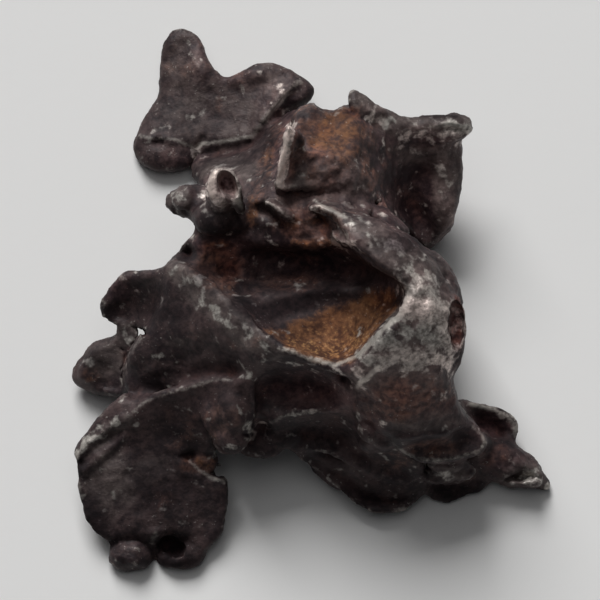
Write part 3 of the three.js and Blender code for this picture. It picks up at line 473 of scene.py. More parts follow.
# Worn crests that follow the metal: x, y and radius.
CRESTS = {
    "pocket_front": [(-4.6, -0.2, 0.3), (-2.9, -2.1, 0.3), (-1.1, -3.4, 0.3), (0.5, -4.05, 0.26),
        (2.5, -4.5, 0.24), (4.1, -3.8, 0.22), (5.4, -2.4, 0.22), (7, -0.9, 0.22), (7.5, 0.5, 0.2)],
    "shoulder": [(-8.9, 2.6, 0.35), (-8.4, 2.4, 0.5), (-7.6, 1.7, 0.45), (-6.4, 0.9, 0.4), (-5.4, 0.1, 0.35),
        (-4.6, -0.6, 0.3)],
    "paddle_top": [(-4.8, -5.6, 0.22), (-5.9, -5.55, 0.28), (-6.9, -5.85, 0.28), (-7.9, -6.2, 0.3),
        (-9.3, -6.55, 0.28), (-10.4, -6.9, 0.3), (-11.2, -7.4, 0.3), (-12.1, -8.2, 0.36), (-13.3, -8.9, 0.4),
        (-14.2, -9.6, 0.36), (-15.1, -10.4, 0.34), (-15.6, -11.2, 0.25)],
    "left_lobe": [(-11.1, -2.6, 0.2), (-11.5, -3.1, 0.28), (-12.1, -3.9, 0.28), (-12.35, -4.7, 0.25),
        (-12.4, -5.6, 0.2)],
    "lobe_tip": [(-13, -3.2, 0.22), (-14.4, -3.8, 0.26), (-15.3, -4.5, 0.28), (-15.6, -5.4, 0.28),
        (-14.4, -6.1, 0.24), (-12.8, -6.5, 0.2)],
    "left_arm": [(-13.6, 0.5, 0.25), (-12.4, 1.5, 0.35), (-11.2, 1.6, 0.32), (-10, 1.7, 0.3), (-9, 2.2, 0.3)],
    "scoop_front": [(-2.1, -8.6, 0.2), (-1.2, -8.15, 0.22), (-0.1, -7.85, 0.22), (1.2, -7.75, 0.16)],
    "tongue_edge": [(11.4, -8, 0.14), (12, -8.8, 0.18), (12.7, -9.4, 0.2), (13, -10, 0.22), (12.6, -10.5, 0.2),
        (11.8, -10.75, 0.18), (10.8, -11.05, 0.18), (9.6, -11.2, 0.18), (8.4, -11.1, 0.18), (7.4, -10.8, 0.18),
        (6.5, -10, 0.14)],
    "lobe_upper": [(0.2, -10.3, 0.16), (2, -10.6, 0.2), (3.2, -11, 0.24), (4.4, -11.7, 0.24), (5.7, -12.3, 0.22),
        (6.9, -12.75, 0.2), (8.5, -12.75, 0.16)],
    "lobe_end": [(8.6, -12.7, 0.2), (8.4, -13.4, 0.22), (7.9, -14, 0.2)],
    "curl_rim": [(11.6, -7.4, 0.2), (12.8, -7.5, 0.26), (13.8, -7.8, 0.28), (14.7, -8.25, 0.3), (15.2, -8.8, 0.3),
        (15.1, -9.4, 0.25)],
    "silver_curl": [(14.2, -12.4, 0.25), (15.2, -11.9, 0.45), (16.2, -11.6, 0.4), (16.9, -12.1, 0.35)],
    "silver_lip": [(14.6, -13.2, 0.25), (15.6, -13.1, 0.35), (16.6, -12.9, 0.3), (17.6, -13.1, 0.25)],
    "wing_crest": [(4.7, 13.2, 0.2), (5.2, 12.7, 0.3), (6.5, 11.9, 0.4), (7.6, 11.4, 0.42), (8.5, 11.2, 0.42),
        (9.6, 11.35, 0.42), (11.5, 11.6, 0.4)],
    "wing_end": [(9.2, 12.4, 0.35), (10.4, 12.7, 0.45), (11.6, 12.5, 0.4)],
    "finger": [(5.1, -4.9, 0.3), (4.6, -5.4, 0.32), (4.1, -5.95, 0.22)],
    "side_line": [(10.3, -0.2, 0.16), (10.2, -1.4, 0.2), (10.2, -2.8, 0.2), (10.4, -3.9, 0.16)],
    "notch_lip": [(-7.7, -11.35, 0.12), (-7.1, -11.95, 0.16), (-6.2, -12.5, 0.16), (-5.3, -12.8, 0.14)],
    "plate_edge": [(-0.2, 15.6, 0.2), (-1, 15, 0.26), (-1.7, 14.1, 0.28), (-2.1, 13.4, 0.28), (-2.7, 12.8, 0.25),
        (-3.1, 12.1, 0.25), (-3.8, 11.6, 0.25), (-4.6, 11.4, 0.22), (-5.8, 11.15, 0.22), (-6.9, 11.05, 0.22),
        (-7.5, 10.95, 0.24), (-7.2, 10.5, 0.2)],
    "plate_left": [(-11.3, 11.5, 0.25), (-10.4, 11.45, 0.2), (-9.8, 11.55, 0.2), (-9, 11.25, 0.2),
        (-8.2, 11, 0.16)],
    "plate_streak": [(-7.7, 17.5, 0.25), (-7.2, 16.6, 0.3), (-6.9, 15.8, 0.2)],
    "column": [(-3.7, -4.9, 0.2), (-3.5, -6.2, 0.3), (-3.4, -7.6, 0.35), (-3.5, -8.8, 0.3)],
    "hook": [(-3.5, -9, 0.2), (-3.15, -9.3, 0.22), (-3.3, -9.75, 0.2), (-3.8, -9.7, 0.16)],
}

# Rounded lumps: place, radii across, along and out, and turn in degrees.
LUMPS = [
    ((-5.35, 7.6, 2.6), (0.85, 1.4, 1.2), -10),
    ((-5.9, 5.7, 0.9), (1.55, 1.25, 1.5), 0),
    ((-4.6, 5.4, 0.6), (1, 0.9, 1.2), 0),
    ((5.2, -9.9, 0.1), (1.1, 0.8, 1.1), 0),
    ((5.3, -9.45, 0.9), (1.5, 0.75, 1.1), -42),
    ((6.1, 5.45, 0.3), (1.7, 0.6, 2.6), -33),
    ((4.8, 13.3, -1.4), (0.8, 0.55, 0.6), -40),
    ((4.75, -9.1, 1.75), (0.95, 0.65, 1), -50),
    ((-6.75, -11.3, -2.6), (1, 0.65, 0.6), -25),
    ((10.4, -11.5, -1.5), (1.5, 0.45, 0.75), 0),
    ((-12, -18, -3.2), (1.5, 1.15, 0.8), 10),
    ((-8.3, -18, -3.2), (1.6, 0.95, 0.7), 0),
    ((-9, -17.3, -3.7), (1.3, 1.2, 0.4), 0),
    ((-10, -6.2, -2.8), (2.4, 1, 0.9), -14),
    ((-9.6, 10.2, -10.4), (1.9, 1.15, 0.75), 0),
    ((3.2, -12, -4), (3.2, 1.5, 0.9), -32),
    ((-12.2, -2.5, -4), (0.75, 1.1, 0.5), 0),
    ((10.5, -12.2, -1.9), (1.8, 0.62, 0.45), 8),
    ((-1.5, -9.2, -1.5), (1.7, 1.1, 1), 0),
    ((15.9, -12.4, -3.9), (1.3, 0.85, 0.7), -10),
    ((-8, 7.2, -0.8), (0.9, 0.8, 0.8), 20),
    ((-4.7, -9.5, 0.3), (1.15, 1.2, 0.9), 0),
    ((-2.8, -10.1, -1.7), (1.5, 0.95, 1), 0),
    ((-5.4, -8.2, 0.2), (1.5, 1.6, 0.8), 20),
]

# Ridges, horns and blades that stand off the metal: x, y, z and radius.
RAISED = {
    "horn": [(3.68, 14.85, -1, 0.08), (3.72, 14.35, -0.9, 0.2), (3.85, 13.7, -0.6, 0.34), (4.2, 12.9, -0.3, 0.5)],
    "horn_back": [(3.9, 14.5, -1, 0.18), (4.5, 14, -1.2, 0.34), (5.3, 13.4, -1.6, 0.45), (6.2, 12.95, -2.1, 0.42)],
    "horn_web": [(4, 14.1, -0.9, 0.24), (4.5, 13.4, -0.8, 0.4), (5, 12.8, -0.9, 0.45)],
    "spike": [(-1.2, 8, 3.3, 0.45), (-1, 9.2, 3.9, 0.45), (-0.84, 10.4, 4.4, 0.4), (-0.7, 11.4, 4.8, 0.32),
        (-0.6, 12.15, 5, 0.22)],
    "spike_body": [(-0.6, 8, 2.9, 0.6), (-0.5, 9.2, 3.3, 0.6), (-0.4, 10.4, 3.8, 0.45), (-0.5, 11.4, 4.5, 0.28)],
    "spike_side": [(0.3, 8.4, 2.6, 0.5), (0.25, 9.6, 3, 0.45), (0.15, 10.4, 3.7, 0.3), (-0.05, 11.1, 4.3, 0.22),
        (-0.4, 11.8, 4.8, 0.2)],
    "spike_edge": [(-1.62, 7.9, 3.6, 0.2), (-1.42, 9, 4.3, 0.2), (-1.2, 10.2, 4.8, 0.18), (-0.95, 11.4, 5.2, 0.16),
        (-0.66, 12.3, 5.1, 0.18)],
    "band_lip": [(2.2, 4.6, 5, 0.35), (3.1, 4.25, 6, 0.42), (4.3, 3.45, 6.7, 0.4), (5.5, 2.6, 6.9, 0.35),
        (6.7, 1.7, 7, 0.25)],
    "under_ridge": [(-7.3, 10.15, -10.2, 0.4), (-6, 10.42, -9.9, 0.45), (-5, 10.58, -9.6, 0.45),
        (-4.2, 10.75, -9.4, 0.45), (-3.4, 10.95, -9.2, 0.4)],
    "spike_foot": [(-1.6, 7.95, 3.4, 0.3), (-0.9, 7.85, 3.3, 0.28), (-0.3, 7.95, 3.2, 0.2)],
    "ring_left": [(-5.2, 9.15, 3.9, 0.36), (-5.8, 8.85, 4, 0.46), (-6.1, 8.1, 4, 0.5), (-6, 7.3, 3.8, 0.5),
        (-5.5, 6.6, 3.5, 0.42)],
    "ring_right": [(-5.2, 9.1, 3.9, 0.4), (-4.65, 8.7, 3.8, 0.4), (-4.4, 8, 3.8, 0.38), (-4.35, 7.3, 3.6, 0.36),
        (-4.25, 6.6, 3.1, 0.36), (-3.9, 6, 2.4, 0.3)],
    "blade_left": [(-2.45, 6.85, 3.1, 0.18), (-1.9, 6.62, 3.25, 0.22), (-1.2, 6.15, 3.15, 0.22),
        (-0.55, 5.55, 2.8, 0.18)],
    "blade_left_side": [(-2.4, 6.9, 2.6, 0.3), (-1.8, 6.7, 2.7, 0.34), (-1.1, 6.2, 2.6, 0.34),
        (-0.6, 5.7, 2.3, 0.3)],
    "blade_left_root": [(-2.3, 7, 1.9, 0.5), (-1.7, 6.8, 1.9, 0.55), (-0.9, 6.3, 1.9, 0.5)],
    "blade_right": [(1.05, 6.9, 3.8, 0.18), (1.6, 6.55, 4.5, 0.22), (2.3, 6.15, 5.5, 0.24), (3.2, 5.7, 6.7, 0.28)],
    "blade_right_root": [(1.4, 6.85, 2.9, 0.28), (2.1, 6.4, 3.7, 0.35), (2.9, 6, 5, 0.45)],
    "mark_a": [(3, 6.6, 2.9, 0.16), (3.5, 6.45, 3, 0.2), (3.9, 6.45, 3, 0.12)],
    "mark_b": [(3.1, 6.85, 2.9, 0.12), (3.6, 6.8, 2.9, 0.14)],
}

# Holes and pockets: place, radii and turn.
HOLES = [
    ((-5.02, 7.95, 4.3), (0.74, 1.16, 1.6), 25),
    ((-11, -2.25, -2.5), (0.26, 0.38, 5), 20),
    ((2.05, 14.65, -0.6), (1.45, 1.55, 6.6), 0),
    ((-9.25, -17.2, -2.2), (0.85, 0.8, 1.7), 15),
    ((-8.7, -17.6, -2.2), (0.85, 0.75, 1.6), 30),
    ((-9.7, -17.8, -2.1), (0.5, 0.4, 1.2), 60),
    ((10.95, -2, 5.9), (0.85, 2.1, 2.3), 2),
    ((-8.05, 3.35, 1.4), (0.7, 0.65, 2), 20),
]

# The left lobe is pressed again once its strut has been joined.
LOBE = [
    # the left lobe and the strut that holds it
    ([(-12.8, -1.7), (-11.6, -1.8), (-11.25, -2.4), (-11.5, -3), (-12.1, -3.8), (-12.4, -5), (-12.5, -6.4),
      (-14.5, -6.3), (-15.7, -5.5), (-15.5, -4.6), (-14.8, -3.6), (-13.6, -3.2), (-13, -2.6)],
     [(-12.7, -1.8, -3.5), (-11.6, -2, -3.3), (-11.6, -3, -3.2), (-12.2, -4, -3.7), (-12.5, -5.2, -4),
      (-12.6, -6.3, -4.4), (-12.9, -2.8, -3.9), (-13.6, -3.6, -4.3), (-14.8, -4, -4.2), (-15.5, -4.8, -4.5),
      (-15.5, -5.4, -4.7), (-14.4, -6.1, -4.9), (-13.4, -4.8, -4.7), (-14.4, -5.2, -4.6)], 0.3),
]

# Creases and ridges: a height, then x, y and radius.
LINES = [
    (-1.2, [(-8.3, 3.4, 0.9), (-7.8, 3.3, 0.9)]),
    (-0.9, [(-5.1, 2, 1), (-4.8, 1.9, 0.9)]),
    (-0.6, [(-10.2, 11.2, 0.5), (-9.9, 11.2, 0.5)]),
    (-0.6, [(12.6, -8.6, 1.1), (13.6, -9, 1.4), (14.2, -9.4, 0.9)]),
    (-0.8, [(15.2, -12.5, 0.35), (16.4, -12.4, 0.3)]),
    (-0.5, [(-4, -9.3, 0.35), (-3.4, -9.4, 0.35)]),
    (0.2, [(-15.2, -12.1, 0.35), (-14.2, -11.2, 0.4), (-13.1, -10.4, 0.4), (-12.2, -9.6, 0.3)]),
    (-0.4, [(-15.4, -11.5, 0.4), (-14.5, -10.5, 0.5), (-13.4, -9.7, 0.5), (-12.4, -9, 0.3)]),
    (-0.5, [(-13.4, -17.2, 0.5), (-12.4, -16.95, 0.5), (-11.4, -16.95, 0.5), (-10.4, -17.6, 0.45),
        (-10.2, -18.3, 0.4)]),
    (0.25, [(-10.4, -16.4, 0.5), (-9.6, -16.2, 0.4)]),
    (0.2, [(-0.2, 15.5, 0.4), (-1.7, 14.1, 0.5), (-2.6, 12.8, 0.4)]),
    (-0.4, [(-2.6, 11.7, 0.5), (-3.6, 10.9, 0.5), (-5.8, 10.5, 0.5), (-7.2, 10.3, 0.4)]),
    (-0.5, [(-6.9, 11.5, 0.3), (-7.3, 10.9, 0.3)]),
    (-0.4, [(-10, -17.2, 0.35), (-10.1, -18.2, 0.4)]),
    (0.25, [(9.4, 12.2, 0.25), (10.6, 12.4, 0.3), (11.8, 12.2, 0.25)]),
    (-0.25, [(9.6, 11.9, 0.25), (10.8, 12, 0.3), (12, 11.8, 0.25)]),
    (0.3, [(6.4, -9.8, 0.3), (8.1, -9.45, 0.35), (9.7, -9.45, 0.35), (10.8, -9, 0.35), (12, -8.7, 0.3)]),
    (0.3, [(14.4, -13, 0.3), (15.6, -12.9, 0.35), (16.8, -12.8, 0.3)]),
    (-0.3, [(14.6, -12.6, 0.3), (15.8, -12.5, 0.35), (16.9, -12.5, 0.3)]),
    (0.3, [(4, -8.3, 0.3), (4.5, -9.1, 0.35), (5.1, -10, 0.3)]),
    (-0.7, [(-2.6, 6.3, 0.6), (-1.7, 5.8, 0.6), (-1.1, 5.2, 0.5)]),
    (-0.7, [(1.3, 6.1, 0.6), (2.1, 5.4, 0.7)]),
    (-0.3, [(-0.6, 7.6, 0.4), (1.3, 7.5, 0.5), (2.6, 7.4, 0.4)]),
]

# Where the surface is rough (x, y, reach across and along, strength), and where it is calm.
RUGGED = [
    (5, 4.6, 2.4, 1.2, 0.75), (7.6, 2.6, 1.4, 1.6, 0.6), (-0.5, 3, 5.4, 3.6, 0.5), (0.8, 9, 3.6, 3.4, 0.9),
    (-5.5, 2.6, 2.2, 2.2, 0.6), (-2.8, 8.5, 1.6, 3.5, 0.9), (5.2, 9, 1.4, 3.4, 0.8), (-7.3, -11.6, 1.8, 0.9, 1),
    (-5, -8.6, 2, 2, 0.4), (9, -0.6, 2, 3.6, 0.7), (15.6, -12, 1.8, 1.2, 1), (6.4, -7, 2.6, 1.6, 0.6),
    (-8.8, 6.8, 1, 1.2, 1), (-12, -17.8, 1.6, 1.4, 0.7), (10.6, -12.3, 1.6, 0.8, 0.7), (8, 12.4, 4.6, 1.2, 0.5),
    (0.2, 11.6, 1.2, 1.6, 0.6),
]
CALM = [
    (-13.6, -4.2, 2.2, 2.4), (-5.3, 7.8, 1.3, 1.7), (-1.6, 6.2, 1.4, 0.9), (2, 6.3, 1.4, 0.9),
    (-1, 10.2, 0.9, 2.6), (4.2, 13.8, 1, 1.2), (-5, 9.6, 2.2, 0.9),
]

# ---------------- the metal

only(frame["nodes"][NODE])
bpy.ops.object.duplicate()
skeleton = bpy.context.object
bpy.ops.object.parent_clear(type="CLEAR_KEEP_TRANSFORM")
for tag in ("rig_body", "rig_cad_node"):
    if tag in skeleton:
        del skeleton[tag]
bpy.ops.object.mode_set(mode="EDIT")
bpy.ops.mesh.select_all(action="SELECT")
bpy.ops.mesh.remove_doubles(threshold=0.001 * MM)
bpy.ops.object.mode_set(mode="OBJECT")
remesh(skeleton, FIRST_VOXEL)
press(skeleton, FACES)
remesh(skeleton, PRESSED_VOXEL)
finish_modifier(skeleton, "SMOOTH", factor=0.5, iterations=3)

tree = surface_of(skeleton)
pieces = [skeleton]
pieces += [crest(tree, points) for points in CRESTS.values()]
pieces += [rod(points) for points in RAISED.values()]
pieces += [ball(*lump) for lump in LUMPS]
skeleton = joined(pieces, "skeleton_skin")
remesh(skeleton, JOINED_VOXEL)

cutter = joined([ball(*hole) for hole in HOLES], "cutter")
remesh(cutter, CUTTER_VOXEL)
finish_modifier(skeleton, "BOOLEAN", operation="DIFFERENCE", solver="EXACT", object=cutter)
bpy.data.objects.remove(cutter)
press(skeleton, LOBE)
score(skeleton, LINES)
finish_modifier(skeleton, "SMOOTH", factor=0.5, iterations=3)
finish_modifier(skeleton, "DISPLACE", strength=SWELL, mid_level=0)

SEEN_ROUGHNESS, HIDDEN_ROUGHNESS, ROUGHNESS_STEPS = 0.25, 0.6, 4
group = skeleton.vertex_groups.new(name="rugged")
x, y, _ = laid_out(skeleton).T
share = np.where(seen_from_above(skeleton), SEEN_ROUGHNESS, HIDDEN_ROUGHNESS)
for sx, sy, across, along, strength in RUGGED:
    away = np.hypot((x - sx) / across, (y - sy) / along)
    share = np.maximum(share, strength * np.clip(1.6 - away, 0, 1))
for cx, cy, across, along in CALM:
    share = np.minimum(share, np.clip(np.hypot((x - cx) / across, (y - cy) / along), 0.1, 1))
for level in range(ROUGHNESS_STEPS + 1):
    chosen = np.nonzero(np.round(share * ROUGHNESS_STEPS) == level)[0]
    if len(chosen):
        group.add(chosen.tolist(), level / ROUGHNESS_STEPS, "REPLACE")
ripple(skeleton, "swell", 2.6, 0.5)
ripple(skeleton, "dimple", 0.8, 0.56, "rugged")
ripple(skeleton, "grit", 0.34, 0.3, "rugged")
keep_above_ground(skeleton)

faces = sum(len(face.vertices) - 2 for face in skeleton.data.polygons)
finish_modifier(skeleton, "DECIMATE", ratio=min(1, TRIANGLES / faces))
keep_above_ground(skeleton)
drop_loose_parts(skeleton, HEART)
only(skeleton)
bpy.ops.object.shade_smooth()


# ---------------- finishes

# Base colours. Where there are two, a pattern runs from the first to the second.
PATINA = (0.023, 0.015, 0.017, 1), (0.076, 0.049, 0.048, 1)
DULL = (0.054, 0.04, 0.039, 1), (0.132, 0.103, 0.096, 1)
RED_RUST = (0.058, 0.03, 0.027, 1), (0.175, 0.087, 0.064, 1)
GOLD = (0.075, 0.032, 0.018, 1), (0.235, 0.108, 0.05, 1)
GOLD_SHINE = (0.52, 0.29, 0.115, 1)
STEEL = (0.215, 0.195, 0.178, 1), (0.56, 0.525, 0.48, 1)
EDGE_STEEL = (0.43, 0.4, 0.36, 1)
# painted glints: light specks that stand in for small reflections
PAINTED_GLINT_STEEL = (0.42, 0.39, 0.36, 1)
NO_TINT = (1, 1, 1, 1)
HOLLOW_TINT = (0.98, 0.86, 0.86, 1)
# painted shade, in places a darker patina: darkens undersides, faces turned from the light and crevices
DARK_PATINA_AND_SHADE_TINT = (0.26, 0.23, 0.26, 1)
# painted light: brightens recesses and shaded faces where light would fall, and a few edges as painted highlights
PAINTED_LIGHT_TINT = (2.3, 2, 2, 1)
PAPER = (0.8, 0.795, 0.785, 1)


class Link:
    """A node's output socket that can be used in plain arithmetic."""

    def __init__(self, shop, socket):
        self.shop = shop
        self.socket = socket

    def work(self, operation, *values):
        return self.shop.node("ShaderNodeMath", {"operation": operation}, *values)

    def __add__(self, other):
        return self.work("ADD", self, other)

    def __sub__(self, other):
        return self.work("SUBTRACT", self, other)

    def __mul__(self, other):
        return self.work("MULTIPLY", self, other)

    def __rsub__(self, other):
        return self.work("SUBTRACT", other, self)

    __radd__ = __add__
    __rmul__ = __mul__


class Shop:
    """Builds one finish."""

    def __init__(self, name):
        self.material = bpy.data.materials.new(name)
        self.material.use_nodes = True
        self.tree = self.material.node_tree
        self.surface = self.tree.nodes["Principled BSDF"]

    def node(self, kind, settings, *values, out=0, **sockets):
        """Any node: its type, its settings, and the values or links of its sockets."""
        made = self.tree.nodes.new(kind)
        for name, value in settings.items():
            setattr(made, name, value)
        for i, value in enumerate(values):
            self.feed(made.inputs[i], value)
        for name, value in sockets.items():
            self.feed(made.inputs[name.replace("_", " ")], value)
        return Link(self, made.outputs[out])

    def feed(self, socket, value):
        if isinstance(value, Link):
            self.tree.links.new(value.socket, socket)
        else:
            socket.default_value = value

    def set(self, **sockets):
        for name, value in sockets.items():
            self.feed(self.surface.inputs[name.replace("_", " ")], value)

    def noise(self, where, scale, detail=4, rough=0.55):
        return self.node("ShaderNodeTexNoise", {}, Vector=where, Scale=scale, Detail=detail, Roughness=rough)

    def step(self, value, start, end):
        settings = {"interpolation_type": "SMOOTHSTEP"}
        return self.node("ShaderNodeMapRange", settings, value, start, end, 0, 1)

    def ragged(self, film, breaks, start, end):
        """How much of the metal a film covers, its edge broken by patterns with a strength each."""
        for pattern, strength in breaks:
            film = film + (pattern - 0.5) * strength
        return self.step(film, start, end)

    def larger(self, first, second):
        return self.node("ShaderNodeMath", {"operation": "MAXIMUM"}, first, second)

    def mix(self, share, first, second, blend="MIX"):
        made = self.tree.nodes.new("ShaderNodeMix")
        made.data_type = "RGBA"
        made.blend_type = blend
        self.feed(made.inputs["Factor"], share)
        self.feed(made.inputs[6], first)
        self.feed(made.inputs[7], second)
        return Link(self, made.outputs[2])

    def tint(self, colour, share, tint):
        return self.mix(1.0, colour, self.mix(share, NO_TINT, tint), "MULTIPLY")


def metal_finish():
    """Brown patina, red and golden rust, bare and rubbed metal, what lies in the hollows, painted shade, painted
    light and painted glints.
    """
    shop = Shop(SLOT)
    where = shop.node("ShaderNodeTexCoord", {}, out="Object")
    wear, hollow, dark, lift, ochre, rust, silver, grey, seam = (
        shop.node("ShaderNodeAttribute", {"attribute_name": name}, out="Fac")
        for name in ("wear", "hollow", "dark", "lift", "ochre", "rust", "silver", "grey", "seam")
    )
    stain = shop.noise(where, 150, 2)
    broad = shop.noise(where, 230, 3)
    mottle = shop.noise(where, 700, 5, 0.6)
    blot = shop.noise(where, 1100, 2, 0.4)
    grain = shop.noise(where, 2400, 4, 0.6)
    fleck = shop.noise(where, 5200, 2)

    patina = shop.mix(shop.step(broad * 0.32 + mottle * 0.33 + grain * 0.35, 0.41, 0.6), *PATINA)
    dull = shop.mix(shop.step(mottle * 0.5 + grain * 0.5, 0.36, 0.64), *DULL)
    colour = shop.mix(shop.ragged(grey, [(mottle, 0.9)], 0.25, 0.85), patina, dull)

    red = shop.mix(shop.step(grain, 0.35, 0.65), *RED_RUST)
    rusty = shop.larger(shop.larger(rust, hollow * 0.45), shop.step(stain, 0.56, 0.74) * 0.5)
    colour = shop.mix(shop.ragged(rusty, [(mottle, 1.9)], 0.3, 1.0) * 0.85, colour, red)

    gold = shop.mix(shop.step(broad * 0.2 + mottle * 0.4 + grain * 0.4, 0.41, 0.6), *GOLD)
    shine = shop.ragged(ochre * 0.7, [(fleck, 1.1), (grain, 1.1)], 0.62, 1.1)
    gold = shop.mix(shine * 0.65, gold, GOLD_SHINE)
    earth = shop.ragged(ochre, [(mottle, 0.9), (grain, 0.5)], 0.2, 0.75)
    colour = shop.mix(earth, colour, gold)

    rubbed = shop.ragged(wear, [(mottle, 1.5), (grain, 0.9)], 0.42, 0.95)
    patch = shop.ragged(silver, [(blot, 2.6), (grain, 0.8)], 0.36, 0.82)
    bare = shop.larger(rubbed * 0.55, patch * 0.85)
    steel = shop.mix(shop.step(fleck * 0.4 + grain * 0.6, 0.36, 0.64), *STEEL)
    colour = shop.mix(bare, colour, steel)
    line = shop.ragged(seam, [(mottle, 0.9), (grain, 0.9)], 0.22, 1.05)
    colour = shop.mix(line * 0.78, colour, EDGE_STEEL)
    # painted glints: light specks scattered by a pattern, fewer in the hollows, where shade falls
    painted_glint = shop.ragged(fleck, [(mottle, 0.5)], 0.69, 0.78) * (1 - hollow * 0.6)
    colour = shop.mix(painted_glint * 0.5, colour, PAINTED_GLINT_STEEL)

    colour = shop.tint(colour, hollow, HOLLOW_TINT)
    # painted shade, in places a darker patina, and painted light, multiplied into the colour
    colour = shop.tint(colour, dark, DARK_PATINA_AND_SHADE_TINT)
    colour = shop.tint(colour, lift, PAINTED_LIGHT_TINT)

    relief = mottle * 0.35 + grain * 0.42 + fleck * 0.23
    shop.set(
        Base_Color=colour,
        Metallic=0.05 + bare * 0.45,
        Roughness=0.54 - bare * 0.12 + earth * 0.2 + hollow * 0.2 + dark * 0.4 - painted_glint * 0.1,
        Specular_IOR_Level=0.25,
        Normal=shop.node("ShaderNodeBump", {}, Strength=0.75, Distance=0.18 * MM, Height=relief),
    )
    return shop.material


def paper_finish():
    """White paper with a faint tooth."""
    shop = Shop("paper")
    where = shop.node("ShaderNodeTexCoord", {}, out="Object")
    grain = shop.noise(where, 900)
    bump = shop.node("ShaderNodeBump", {}, Strength=0.15, Distance=0.05 * MM, Height=grain)
    shop.set(Base_Color=PAPER, Roughness=0.9, Normal=bump)
    return shop.material


# ---------------- wear, films, painted shade and painted light on the surface

mesh = skeleton.data
count = len(mesh.vertices)
place = places_of(skeleton)
lx, ly, lz = laid_out(skeleton).T
normal = np.zeros(count * 3, np.float32)
mesh.vertices.foreach_get("normal", normal)
normal = normal.reshape(-1, 3)
edges = np.zeros(len(mesh.edges) * 2, np.int64)
mesh.edges.foreach_get("vertices", edges)
first, second = edges.reshape(-1, 2).T
degree = np.maximum(np.bincount(first, minlength=count) + np.bincount(second, minlength=count), 1)


def spread(values, rounds):
    """Averages a value over its neighbours."""
    for _ in range(rounds):
        total = np.bincount(first, values[second], count) + np.bincount(second, values[first], count)
        values = 0.5 * values + 0.5 * total / degree
    return values


# How the surface bends, in the small and in the large: crests are positive, hollows negative.
span = place[second] - place[first]
length = np.maximum(np.linalg.norm(span, axis=1), 1e-9)
bend = ((normal[second] - normal[first]) * span).sum(1) / length**2
curve = (np.bincount(first, bend, count) + np.bincount(second, bend, count)) / degree * MM
fine = spread(curve, 3)
wide = spread(curve, 24)

# The great pocket and its golden floor, as outlines of x and y.
POCKET = [
    (-4.4, -0.3), (-2.9, -1.6), (-1.1, -2.9), (0.5, -3.6), (2.5, -4), (4, -3.3), (5.2, -2), (6.8, -0.6),
    (7.1, 0.5), (6, 1.6), (4.6, 2.6), (3.2, 3.7), (1, 3.6), (-3.4, 3.8), (-7, 3.8), (-7, 2.2),
]
FLOOR = [
    (-2.6, -2.1), (-1.2, -1.6), (0.6, -0.9), (2.9, -0.1), (5.3, 0.8), (7.2, 0.95), (7, -0.7), (5.4, -2.2),
    (4.2, -3.6), (2.5, -4.3), (0.5, -3.9), (-1.1, -3.2),
]
POCKET_EDGE, POCKET_TOP = 0.4, 6
FLOOR_EDGE, FLOOR_TOP = 1.3, 6.4
upward = np.clip((normal @ np.array(OUT) + 0.25) * 3, 0, 1)
facing = spread(seen_from_above(skeleton).astype(float), 4) * upward
in_pocket = np.clip(inside_distance(lx, ly, POCKET) / POCKET_EDGE + 0.5, 0, 1)
in_pocket *= np.clip(POCKET_TOP - lz, 0, 1) * upward
gold_floor = np.clip(inside_distance(lx, ly, FLOOR) / FLOOR_EDGE + 0.35, 0, 1)
gold_floor *= np.clip(FLOOR_TOP - lz, 0, 1) * upward

